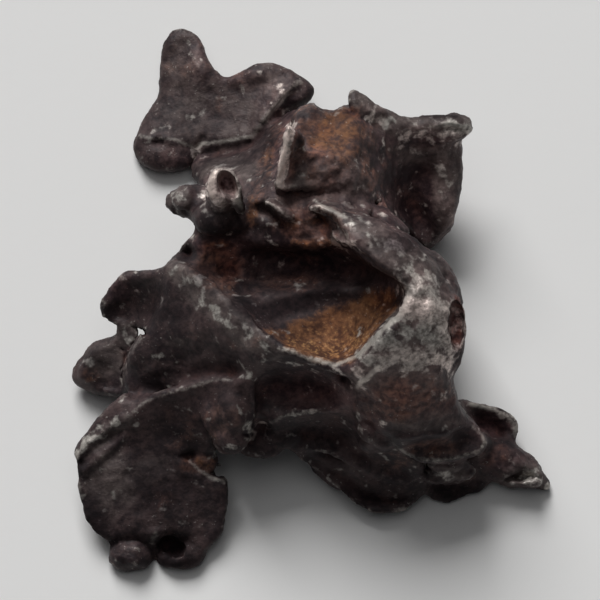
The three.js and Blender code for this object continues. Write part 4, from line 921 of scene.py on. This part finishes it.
# Each film: soft spots of x, y, reach across, reach along and strength, and then lines of a strength
# and points of x, y and radius.
FILMS = {
    # painted light: brightens hollows and shaded faces, and a few edges as painted highlights
    "lift": ([
        (8.9, -0.9, 1.6, 0.8, 0.35), (6.9, -3.8, 2, 0.7, 0.3), (-1.2, 9.2, 0.6, 2, 0.9),
        (-0.7, 11.8, 0.5, 0.9, 0.9), (-5.5, 7.8, 1.1, 1.2, 0.95), (8.9, 11.3, 2.4, 0.8, 0.8),
        (8.3, 1.2, 0.8, 1.2, 0.3), (8.2, -0.6, 1.2, 0.9, 0.7), (3, 3.9, 1.4, 0.6, 0.9), (-6.6, 3.9, 0.9, 0.6, 1),
        (-4.6, 4, 1.4, 0.6, 1), (0.9, 9.9, 1, 0.8, 0.4), (-7.2, 17, 0.6, 1.4, 0.35), (7.8, -3.8, 1.6, 0.8, 0.35),
        (5, 12.9, 0.9, 0.8, 0.4), (-1.4, 14.4, 1.4, 1.4, 0.4), (-3.8, 15.8, 1.6, 0.6, 0.3),
        (-12.8, 0.8, 1.2, 0.7, 0.8), (3.9, -4.9, 1, 0.5, 0.6), (4.6, -6.4, 1.4, 0.8, 0.4),
        (2.7, -6.8, 1.4, 0.9, 1), (9.8, 8.8, 1.4, 2, 0.3), (7.6, 7.4, 2.4, 3.2, 0.7), (-4.6, 3, 1.4, 1.4, 0.8),
        (0.6, -6.2, 2.8, 1.2, 0.9), (13.2, -8.8, 1.4, 0.8, 0.8), (11, -2, 0.6, 1.8, 0.9), (0.4, 4.4, 2.6, 1, 0.8),
        (-0.6, 6.6, 1.8, 1.2, 0.4), (6, 0.6, 1, 1.2, 0.8), (8.4, -7, 3, 1.6, 0.3), (5.2, -8.6, 1.6, 0.8, 0.3),
        (9.8, -4.6, 1.6, 1.2, 0.4), (7, -5.4, 2.6, 1, 0.35), (1.2, 2.4, 4, 0.9, 0.7), (10.6, 5.2, 0.8, 2, 0.6),
        (2.8, 8.2, 1.8, 1, 0.5), (14, -11, 1.4, 1, 0.3), (10.6, -1, 1, 2.4, 0.4),
    ], [
        (0.35, [(-9.2, 10.2, 1), (-7.2, 10.2, 0.8)]),
        (0.5, [(-5, 3.9, 0.6), (-2.2, 3.7, 0.5), (2.6, 4, 0.7), (4.2, 3.2, 0.6)]),
    ]),
    # painted shade, in places a darker patina: undersides, faces turned from the light, crevices and ledges
    "dark": ([
        (2.4, 13, 1.4, 0.5, 0.4), (-5, 9.9, 2.4, 0.7, 0.65), (-5.1, 8, 0.62, 1, 0.85), (2.4, 11.4, 2.2, 1.8, 0.16),
        (-11.5, -3.9, 0.6, 1, 0.6), (0.4, 7, 0.8, 0.4, 0.5), (2, -9.3, 2.6, 0.9, 0.6), (5, -13.6, 3.6, 1, 0.55),
        (11, -13.6, 2.2, 0.7, 0.7), (-8.8, -18.3, 1.8, 0.7, 1), (-8.95, -17.4, 1.5, 1.3, 1),
        (2.2, 2.4, 3, 0.7, 0.5), (-6, 5.4, 1.6, 1, 0.4), (-8, 3.3, 0.6, 0.6, 0.8), (0.1, 11.6, 0.4, 1, 0.5),
        (3.2, 13, 0.35, 0.4, 0.6), (-9, -8.4, 2.6, 1.4, 0.4), (-6.8, -15, 1.2, 1.4, 0.3),
        (5.4, -11.4, 1.6, 0.6, 0.35), (1.5, -11.6, 1.8, 0.8, 0.5), (-3, -10.6, 1.4, 0.6, 0.6),
        (-2, 5, 1, 0.6, 0.3), (1.8, 5.8, 0.7, 0.4, 0.4), (-1.6, -9.6, 1.8, 1, 0.6), (-11.6, 0.4, 1.6, 0.8, 0.35),
        (0.4, -5.8, 2.4, 1, 0.25), (12.9, -8.6, 1.2, 0.6, 0.3), (-5.2, 5.8, 1.6, 0.8, 0.4),
        (-10.4, -0.3, 2.2, 1.2, 0.6), (-8.6, 0.3, 1, 1, 0.5), (-5, -6.8, 1.2, 0.9, 0.6),
        (-7.5, 13, 3.2, 1.4, 0.25), (-11.2, 11, 0.9, 1.2, 0.3), (0, -2, 1.8, 0.9, 0.6), (-6.7, 2, 0.9, 0.9, 0.95),
        (-6.4, 0.9, 0.9, 0.7, 0.6), (-2.4, 11.3, 1, 1, 0.9), (-9.4, -13.2, 3, 2.8, 0.8),
        (-9.2, -0.9, 1.8, 0.8, 0.95), (-1.4, 0.8, 1.6, 0.5, 0.8), (-14.2, -4, 1.4, 1.3, 0.55),
        (-12.2, -2.4, 1, 0.6, 0.4), (11.1, -4, 0.5, 0.9, 0.5), (9.9, 1.2, 0.7, 0.8, 0.5),
        (-15.6, -11.8, 0.5, 0.8, 0.8), (9.8, 12.95, 2.2, 0.28, 0.8), (7, 3.9, 1.8, 0.8, 0.95),
        (-1.2, -2, 1.2, 0.8, 0.5), (-3.6, -1.4, 0.8, 0.8, 0.5), (0.8, 11.4, 0.6, 0.8, 0.3),
        (5.4, 5.3, 1, 0.5, 0.4), (-13, -13, 1.8, 2.2, 0.3), (-8.3, -9.9, 1.2, 0.8, 0.5),
        (14.3, -10, 0.9, 0.8, 0.7), (-14.4, -15.6, 1.2, 1.4, 1), (-13, -17.2, 0.8, 0.5, 0.4),
        (-8.7, 6.2, 0.8, 0.3, 0.5),
    ], [
        (0.7, [(-8.4, 10.5, 0.3), (-7.2, 10.5, 0.3), (-5.2, 11, 0.3), (-3.5, 11.3, 0.3), (-2.4, 12, 0.4)]),
        (0.35, [(-7, 10.2, 0.5), (-5.2, 10.6, 0.5), (-3.5, 10.9, 0.6)]),
        (0.4, [(-2.2, 6.2, 0.5), (-0.9, 5.2, 0.5)]),
        (0.3, [(5, 5.2, 0.8), (7.4, 4, 1), (9.2, 2.8, 0.8)]),
        (0.45, [(-10.6, -5.7, 0.9), (-8.2, -5.2, 1), (-6, -4.9, 1), (-4.8, -4.8, 0.8)]),
        (1, [(-4.4, -0.2, 0.9), (-2.8, -1, 1), (-1.2, -0.5, 1.1), (0.6, 0, 1.1), (2.4, 0.6, 0.8)]),
    ]),
    "ochre": ([
        (2.4, 11.8, 2.4, 2, 0.5), (0.9, 4, 1.6, 0.4, 0.6), (3.6, 10.6, 1, 1, 0.4), (-6.2, 2.6, 1, 1.2, 0.22),
        (-5.2, 0.6, 0.7, 0.6, 0.25), (-3.3, 6.3, 0.6, 1.1, 0.5), (-2.2, 9.4, 0.5, 1.6, 0.34),
        (-7.2, -11.4, 1.4, 0.5, 0.35), (7.2, -6.8, 1.8, 0.7, 0.14), (0.8, 5.1, 2.2, 1, 0.3),
        (4.9, 8.6, 0.5, 1.2, 0.15), (-14.8, -5.2, 0.6, 0.5, 0.3),
    ], [
        (0.4, [(-6.4, 4, 0.5), (-5, 4, 0.5)]),
        (1, [(-0.6, -3, 0.8), (1.2, -3.4, 1.2), (3, -3.4, 1.4), (4.4, -2.4, 1)]),
    ]),
    "rust": ([
        (2, 11.4, 3, 2.6, 1), (-0.5, 9.6, 0.5, 1.5, 0.8), (0.6, 5.4, 3, 1.6, 0.75), (-5.8, 2.6, 2, 2, 0.95),
        (-7.2, -11.6, 1.8, 0.8, 0.9), (7.4, -6.9, 3.2, 1.7, 0.85), (9.6, -10.3, 2.6, 0.8, 0.6),
        (6.6, -11.4, 1.8, 0.9, 0.55), (-0.8, 1.2, 3.2, 0.9, 0.55), (-5.8, 14, 0.35, 1, 0.6),
        (14, -10.8, 1.2, 1, 0.5), (-9.6, -13.2, 1, 1.6, 0.4), (-14.6, -5.2, 0.9, 0.7, 0.5),
        (-5.6, -8.4, 2, 1.4, 0.55), (1.8, 9, 2.4, 1.4, 0.6), (-1, 6.8, 1.8, 0.8, 0.4), (7, 9.4, 2, 2, 0.3),
        (10.9, -2.2, 0.5, 1.4, 0.7), (-7.6, -2.2, 2.4, 1.2, 0.3), (-5, -3.6, 1.2, 0.8, 0.35), (2.8, -8, 1, 1, 0.3),
        (-10, -16.8, 2, 0.8, 0.3), (-9, 17, 1, 2, 0.3),
    ], [
        (0.6, [(-1.6, 12.4, 0.9), (-2.1, 10.4, 0.9), (-2.8, 8.4, 1), (-3.4, 6.2, 1)]),
        (0.6, [(4.4, 10.2, 0.9), (5.2, 8.4, 1), (5.8, 6.6, 0.9)]),
    ]),
    "silver": ([
        (-5.5, 8, 1.1, 1.4, 0.85), (16.3, -12.2, 1.2, 0.7, 0.8), (10.8, 11.9, 1.4, 0.7, 0.8),
        (-5.6, 6.9, 0.8, 0.6, 0.7), (9.2, -0.9, 1.5, 0.8, 1), (3.9, -4.9, 1.2, 0.5, 0.8),
        (8.9, 11.4, 2.4, 0.8, 0.5), (15, -11.2, 1, 0.5, 0.4), (14.4, -8.2, 0.8, 0.4, 0.6), (8.3, 0.8, 0.8, 1, 1),
        (7.6, -3.8, 1.8, 0.9, 1), (9.4, -4, 1, 0.7, 0.9), (-7.3, 17, 0.6, 1.3, 0.15), (3, 4, 1.2, 0.6, 0.8),
        (-1.6, 14.2, 1, 1.6, 0.15), (5, 13, 0.7, 0.5, 0.5), (10.3, 8.6, 0.7, 3, 0.3), (-8.4, 2.3, 0.6, 0.4, 0.4),
        (8.5, -0.1, 1.3, 1.6, 1), (8, -0.8, 1.2, 1, 1), (9.6, -2.6, 1.8, 2.2, 0.8), (7.6, 0.2, 0.7, 0.9, 1),
        (4.4, 5.5, 1.6, 0.8, 0.42), (7.5, 2.6, 1.1, 1.2, 0.55), (-7.6, 1.4, 1, 0.8, 0.45),
        (-5.8, -0.4, 0.9, 0.8, 0.4), (-8.9, 7, 0.4, 0.6, 0.8), (-3.6, -5.2, 0.5, 0.7, 0.6),
        (-3.4, -9, 0.5, 0.8, 0.6), (-5, -10.3, 0.9, 0.25, 0.5), (-8.6, 6.9, 0.8, 1, 0.45),
        (-14.9, -4.5, 0.6, 0.6, 0.4), (17.4, -13.1, 0.6, 0.3, 0.6), (-12.2, -2.4, 0.6, 0.7, 0.5),
        (10.6, -12.3, 1.5, 0.5, 0.5), (-9.8, -16.3, 0.7, 0.3, 0.4), (-8, 18, 0.8, 0.6, 0.2),
    ], [
        (0.3, [(2.6, 5.2, 0.9), (5, 4.3, 1.2), (7, 3, 1.2), (8.4, 1.2, 1.8), (8.8, -0.6, 1.7)]),
        (0.78, [(5.2, -4.2, 1.2), (6.8, -3, 1.9), (8.6, -2.2, 1.9), (9.4, -3.4, 1.4)]),
        (0.8, [(8, -0.8, 0.5), (6.5, -1.3, 0.4), (5.7, -2.1, 0.35), (4.9, -2.95, 0.35), (4.1, -3.75, 0.4)]),
        (1, [(-1.4, 7.9, 0.5), (-1.2, 9, 0.52), (-1, 10.4, 0.5), (-0.65, 12.2, 0.55)]),
        (0.6, [(5.1, -4.9, 0.4), (4.1, -5.95, 0.35)]),
        (0.3, [(-8.8, 2.2, 0.7), (-7.6, 0.9, 0.9), (-6, -0.4, 1), (-4.4, -1.8, 0.9), (-2.8, -2.9, 0.7)]),
        (0.8, [(-12.2, -8.1, 0.5), (-13.6, -8.9, 0.6), (-15, -10.1, 0.6), (-15.7, -11, 0.4)]),
        (0.22, [(-3.6, -5, 0.5), (-3.4, -7.4, 0.5), (-3.6, -9.4, 0.5)]),
        (0.38, [(4.4, 13.8, 0.8), (6.4, 12.4, 0.8), (9, 12.2, 0.8), (11.8, 12.2, 0.9)]),
    ]),
    "grey": ([
        (-8, 16.4, 2.4, 3.4, 0.5), (-6, 13, 6, 3.4, 0.5), (-2, 15.2, 2.6, 1.6, 0.6), (10.3, 8, 1, 3.8, 1),
        (-13.2, -12.8, 2, 2.6, 0.8), (-10.4, -12, 2.4, 1.4, 0.6), (-8.6, 6.9, 1, 1.2, 0.9), (-5, 9.2, 2.6, 1, 0.9),
        (10.4, -12.3, 1.6, 0.6, 0.9), (-13.6, -4.2, 1.6, 1.4, 0.9), (8.8, 10.2, 2.4, 1, 0.7),
        (16, -12.4, 1.8, 1, 0.8), (-8.6, -3, 1.2, 0.5, 0.5), (6.6, -5.6, 3.6, 1.4, 1), (8.6, -8.4, 3, 1, 0.7),
        (1.6, 8.4, 3.4, 2.4, 0.9), (-1.4, 6.4, 1.8, 1, 0.9), (1, 4.6, 1.8, 1.2, 0.8), (-5.4, 7.4, 1.6, 1.6, 0.9),
        (-5.2, -8.4, 1.4, 1.4, 0.4), (-12.2, -2.4, 0.8, 0.9, 1),
    ], [
        (1, [(2.6, 5, 1.2), (5, 4.3, 1.6), (7, 3, 1.8), (8.6, 1.2, 2.8), (9, -0.8, 2.8), (8.6, -2.8, 2.6),
            (6.6, -3.8, 1.8), (5, -4.2, 1.2)]),
        (0.9, [(3.8, 14.2, 0.8), (5, 13.2, 1.2), (6.6, 12.3, 1.2), (9, 12.2, 1.2), (11.6, 12.2, 1.4)]),
        (0.75, [(-8.6, 2, 1.2), (-7, 0.6, 1.8), (-5.4, -0.6, 1.8), (-3.6, -2.6, 1.4), (-1.6, -3.8, 0.8)]),
        (0.7, [(-12.2, -8.4, 0.8), (-13.6, -9.4, 0.9), (-15.2, -10.8, 0.8)]),
    ]),
    "seam": ([], [
        (0.28, [(-15.3, -12.2, 0.25), (-14.3, -11.3, 0.28), (-13.2, -10.5, 0.28), (-12.1, -9.6, 0.25)]),
        (0.95, [(7.4, 0.2, 0.5), (7.2, -0.7, 0.6), (6.5, -1.3, 0.5), (5.7, -2.1, 0.42), (4.9, -2.95, 0.4),
            (4.1, -3.75, 0.38)]),
        (0.18, [(3.6, -8.2, 0.26), (6.4, -9.8, 0.28), (8.1, -9.45, 0.28), (9.7, -9.45, 0.28), (12, -8.7, 0.26)]),
        (0.2, [(2.6, -12.7, 0.26), (4.1, -14.1, 0.28), (6.3, -14.6, 0.28), (7.9, -14.1, 0.26)]),
        (0.8, [(12, -7.3, 0.3), (12.8, -7.5, 0.35), (13.8, -7.8, 0.38), (14.7, -8.25, 0.4), (15.2, -8.8, 0.36),
            (15.2, -9.6, 0.3)]),
        (0.62, [(-0.1, 15.6, 0.5), (-0.8, 14.9, 0.55), (-1.6, 14, 0.55), (-2.5, 12.8, 0.5), (-3.2, 11.8, 0.4)]),
        (0.8, [(-3.3, 11.6, 0.3), (-4, 11.55, 0.32), (-5.3, 11.3, 0.32), (-6.9, 11.15, 0.3), (-7.3, 10.85, 0.28)]),
        (0.6, [(-11.4, 11.7, 0.3), (-10.5, 11.5, 0.3), (-9.6, 11.5, 0.28), (-9, 11.45, 0.3), (-8.3, 11.15, 0.3),
            (-7.5, 10.85, 0.3), (-7.1, 10.5, 0.26)]),
        (0.24, [(-10.4, 12.4, 0.3), (-9.2, 12.3, 0.3)]),
        (1, [(-4.1, 6.4, 0.3), (-4.35, 7.2, 0.34), (-4.45, 8, 0.36), (-4.7, 8.7, 0.42), (-5.2, 9.05, 0.5),
            (-5.8, 8.8, 0.6), (-6.15, 8.1, 0.65), (-6.15, 7.4, 0.5)]),
        (1, [(-1.5, 7.9, 0.38), (-1.3, 9, 0.4), (-1.1, 10.2, 0.4), (-0.9, 11.4, 0.42), (-0.62, 12.3, 0.45)]),
        (1, [(-1.15, 10.8, 0.3), (-0.95, 11.4, 0.4), (-0.62, 12.3, 0.42)]),
        (0.28, [(3.75, 14.7, 0.3), (4.5, 13.7, 0.3), (5.2, 12.9, 0.35), (6.5, 12.15, 0.35), (7.6, 11.7, 0.3)]),
        (0.7, [(9.4, 12.2, 0.32), (10.6, 12.4, 0.36), (11.9, 12.2, 0.36)]),
        (0.32, [(9.6, 11.6, 0.28), (12, 11.5, 0.28)]),
        (0.5, [(2.2, 4.2, 0.4), (3.1, 4, 0.45), (4.2, 3.3, 0.4)]),
        (0.64, [(10.2, -0.5, 0.34), (10.15, -1.9, 0.36), (10.3, -3.4, 0.34)]),
        (1, [(5.2, -4.9, 0.34), (4, -6, 0.34)]),
        (0.6, [(-10.4, -17, 0.5), (-10.1, -16.35, 0.4)]),
    ]),
}

# Ridges with a bright edge: the ridge, its first and last point that shine, strength and radius.
BRIGHT = [
    ("paddle_top", 0, 7, 0.56, 0.28),
    ("left_lobe", 0, 4, 0.4, 0.43),
    ("pocket_front", 0, 2, 0.24, 0.28),
    ("pocket_front", 2, 5, 0.75, 0.31),
    ("scoop_front", 0, 3, 0.55, 0.27),
    ("tongue_edge", 1, 10, 0.62, 0.28),
    ("lobe_upper", 0, 6, 0.28, 0.28),
    ("lobe_end", 0, 2, 0.4, 0.28),
    ("notch_lip", 0, 3, 0.72, 0.28),
    ("plate_streak", 0, 2, 0.36, 0.36),
    ("blade_left", 0, 3, 0.8, 0.28),
    ("blade_right", 0, 3, 0.8, 0.29),
    ("mark_a", 0, 2, 0.48, 0.26),
    ("mark_b", 0, 1, 0.4, 0.25),
    ("spike_foot", 0, 2, 0.6, 0.29),
    ("hook", 0, 3, 0.8, 0.26),
    ("shoulder", 0, 2, 0.32, 0.37),
]
for name, begin, end, strength, radius in BRIGHT:
    ridge = {**CRESTS, **RAISED}[name][begin:end + 1]
    FILMS["seam"][1].append((strength, [(x, y, radius) for x, y, *_ in ridge]))


def painted(name, body=1.7):
    """How strongly a film lies on each corner of the broad side."""
    spots, lines = FILMS[name]
    total = np.zeros(count)
    for x, y, across, along, strength in spots:
        away = np.hypot((lx - x) / across, (ly - y) / along)
        total = np.maximum(total, strength * np.clip(1.5 - away, 0, 1))
    for strength, points in lines:
        share = line_profile(lx, ly, points)
        total = np.maximum(total, strength * np.clip(share * body, 0, 1))
    return total * np.maximum(facing, in_pocket)


WEAR_GAIN, HOLLOW_GAIN, LEAST_BEND, COVER = 0.42, 1.6, 0.12, 0.8
films = {name: painted(name) for name in FILMS}
films["seam"] = painted("seam", 1.15)
films["ochre"] = np.maximum(films["ochre"], gold_floor * COVER)
films["wear"] = np.clip(fine * WEAR_GAIN - LEAST_BEND, 0, 1)
films["wear"] *= (1 - COVER * in_pocket) * (1 - COVER * films["dark"])
films["hollow"] = -wide * HOLLOW_GAIN - LEAST_BEND
for name, values in films.items():
    attribute = mesh.attributes.new(name, "FLOAT", "POINT")
    attribute.data.foreach_set("value", np.clip(values, 0, 1).astype(np.float32))

mesh.materials.clear()
mesh.materials.append(metal_finish())
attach(skeleton, "root")
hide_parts(NODE)

# ---------------- paper and light

bpy.ops.object.select_all(action="DESELECT")
bpy.ops.mesh.primitive_plane_add(size=9, location=(0, 0, 0))
paper = bpy.context.object
paper.name = "paper"
paper.data.materials.append(paper_finish())

world = bpy.data.worlds.new("studio")
bpy.context.scene.world = world
world.use_nodes = True
sky = world.node_tree.nodes["Background"].inputs
sky["Color"].default_value = (0.93, 0.96, 1.0, 1)
sky["Strength"].default_value = 0.05


def softbox(name, place, size, power):
    """A square soft light that looks at the metal."""
    bpy.ops.object.select_all(action="DESELECT")
    bpy.ops.object.light_add(type="AREA", location=place)
    lamp = bpy.context.object
    lamp.name = name
    lamp.data.shape = "SQUARE"
    lamp.data.size = size
    lamp.data.energy = power
    lamp.rotation_euler = (-Vector(place)).to_track_quat("-Z", "Y").to_euler()


softbox("window", (-0.45, 1.47, 1.47), 1.08, 46)
softbox("ceiling", (-0.125, 0.35, 2.0), 1.5, 5)

bpy.context.scene.view_settings.view_transform = "Standard"
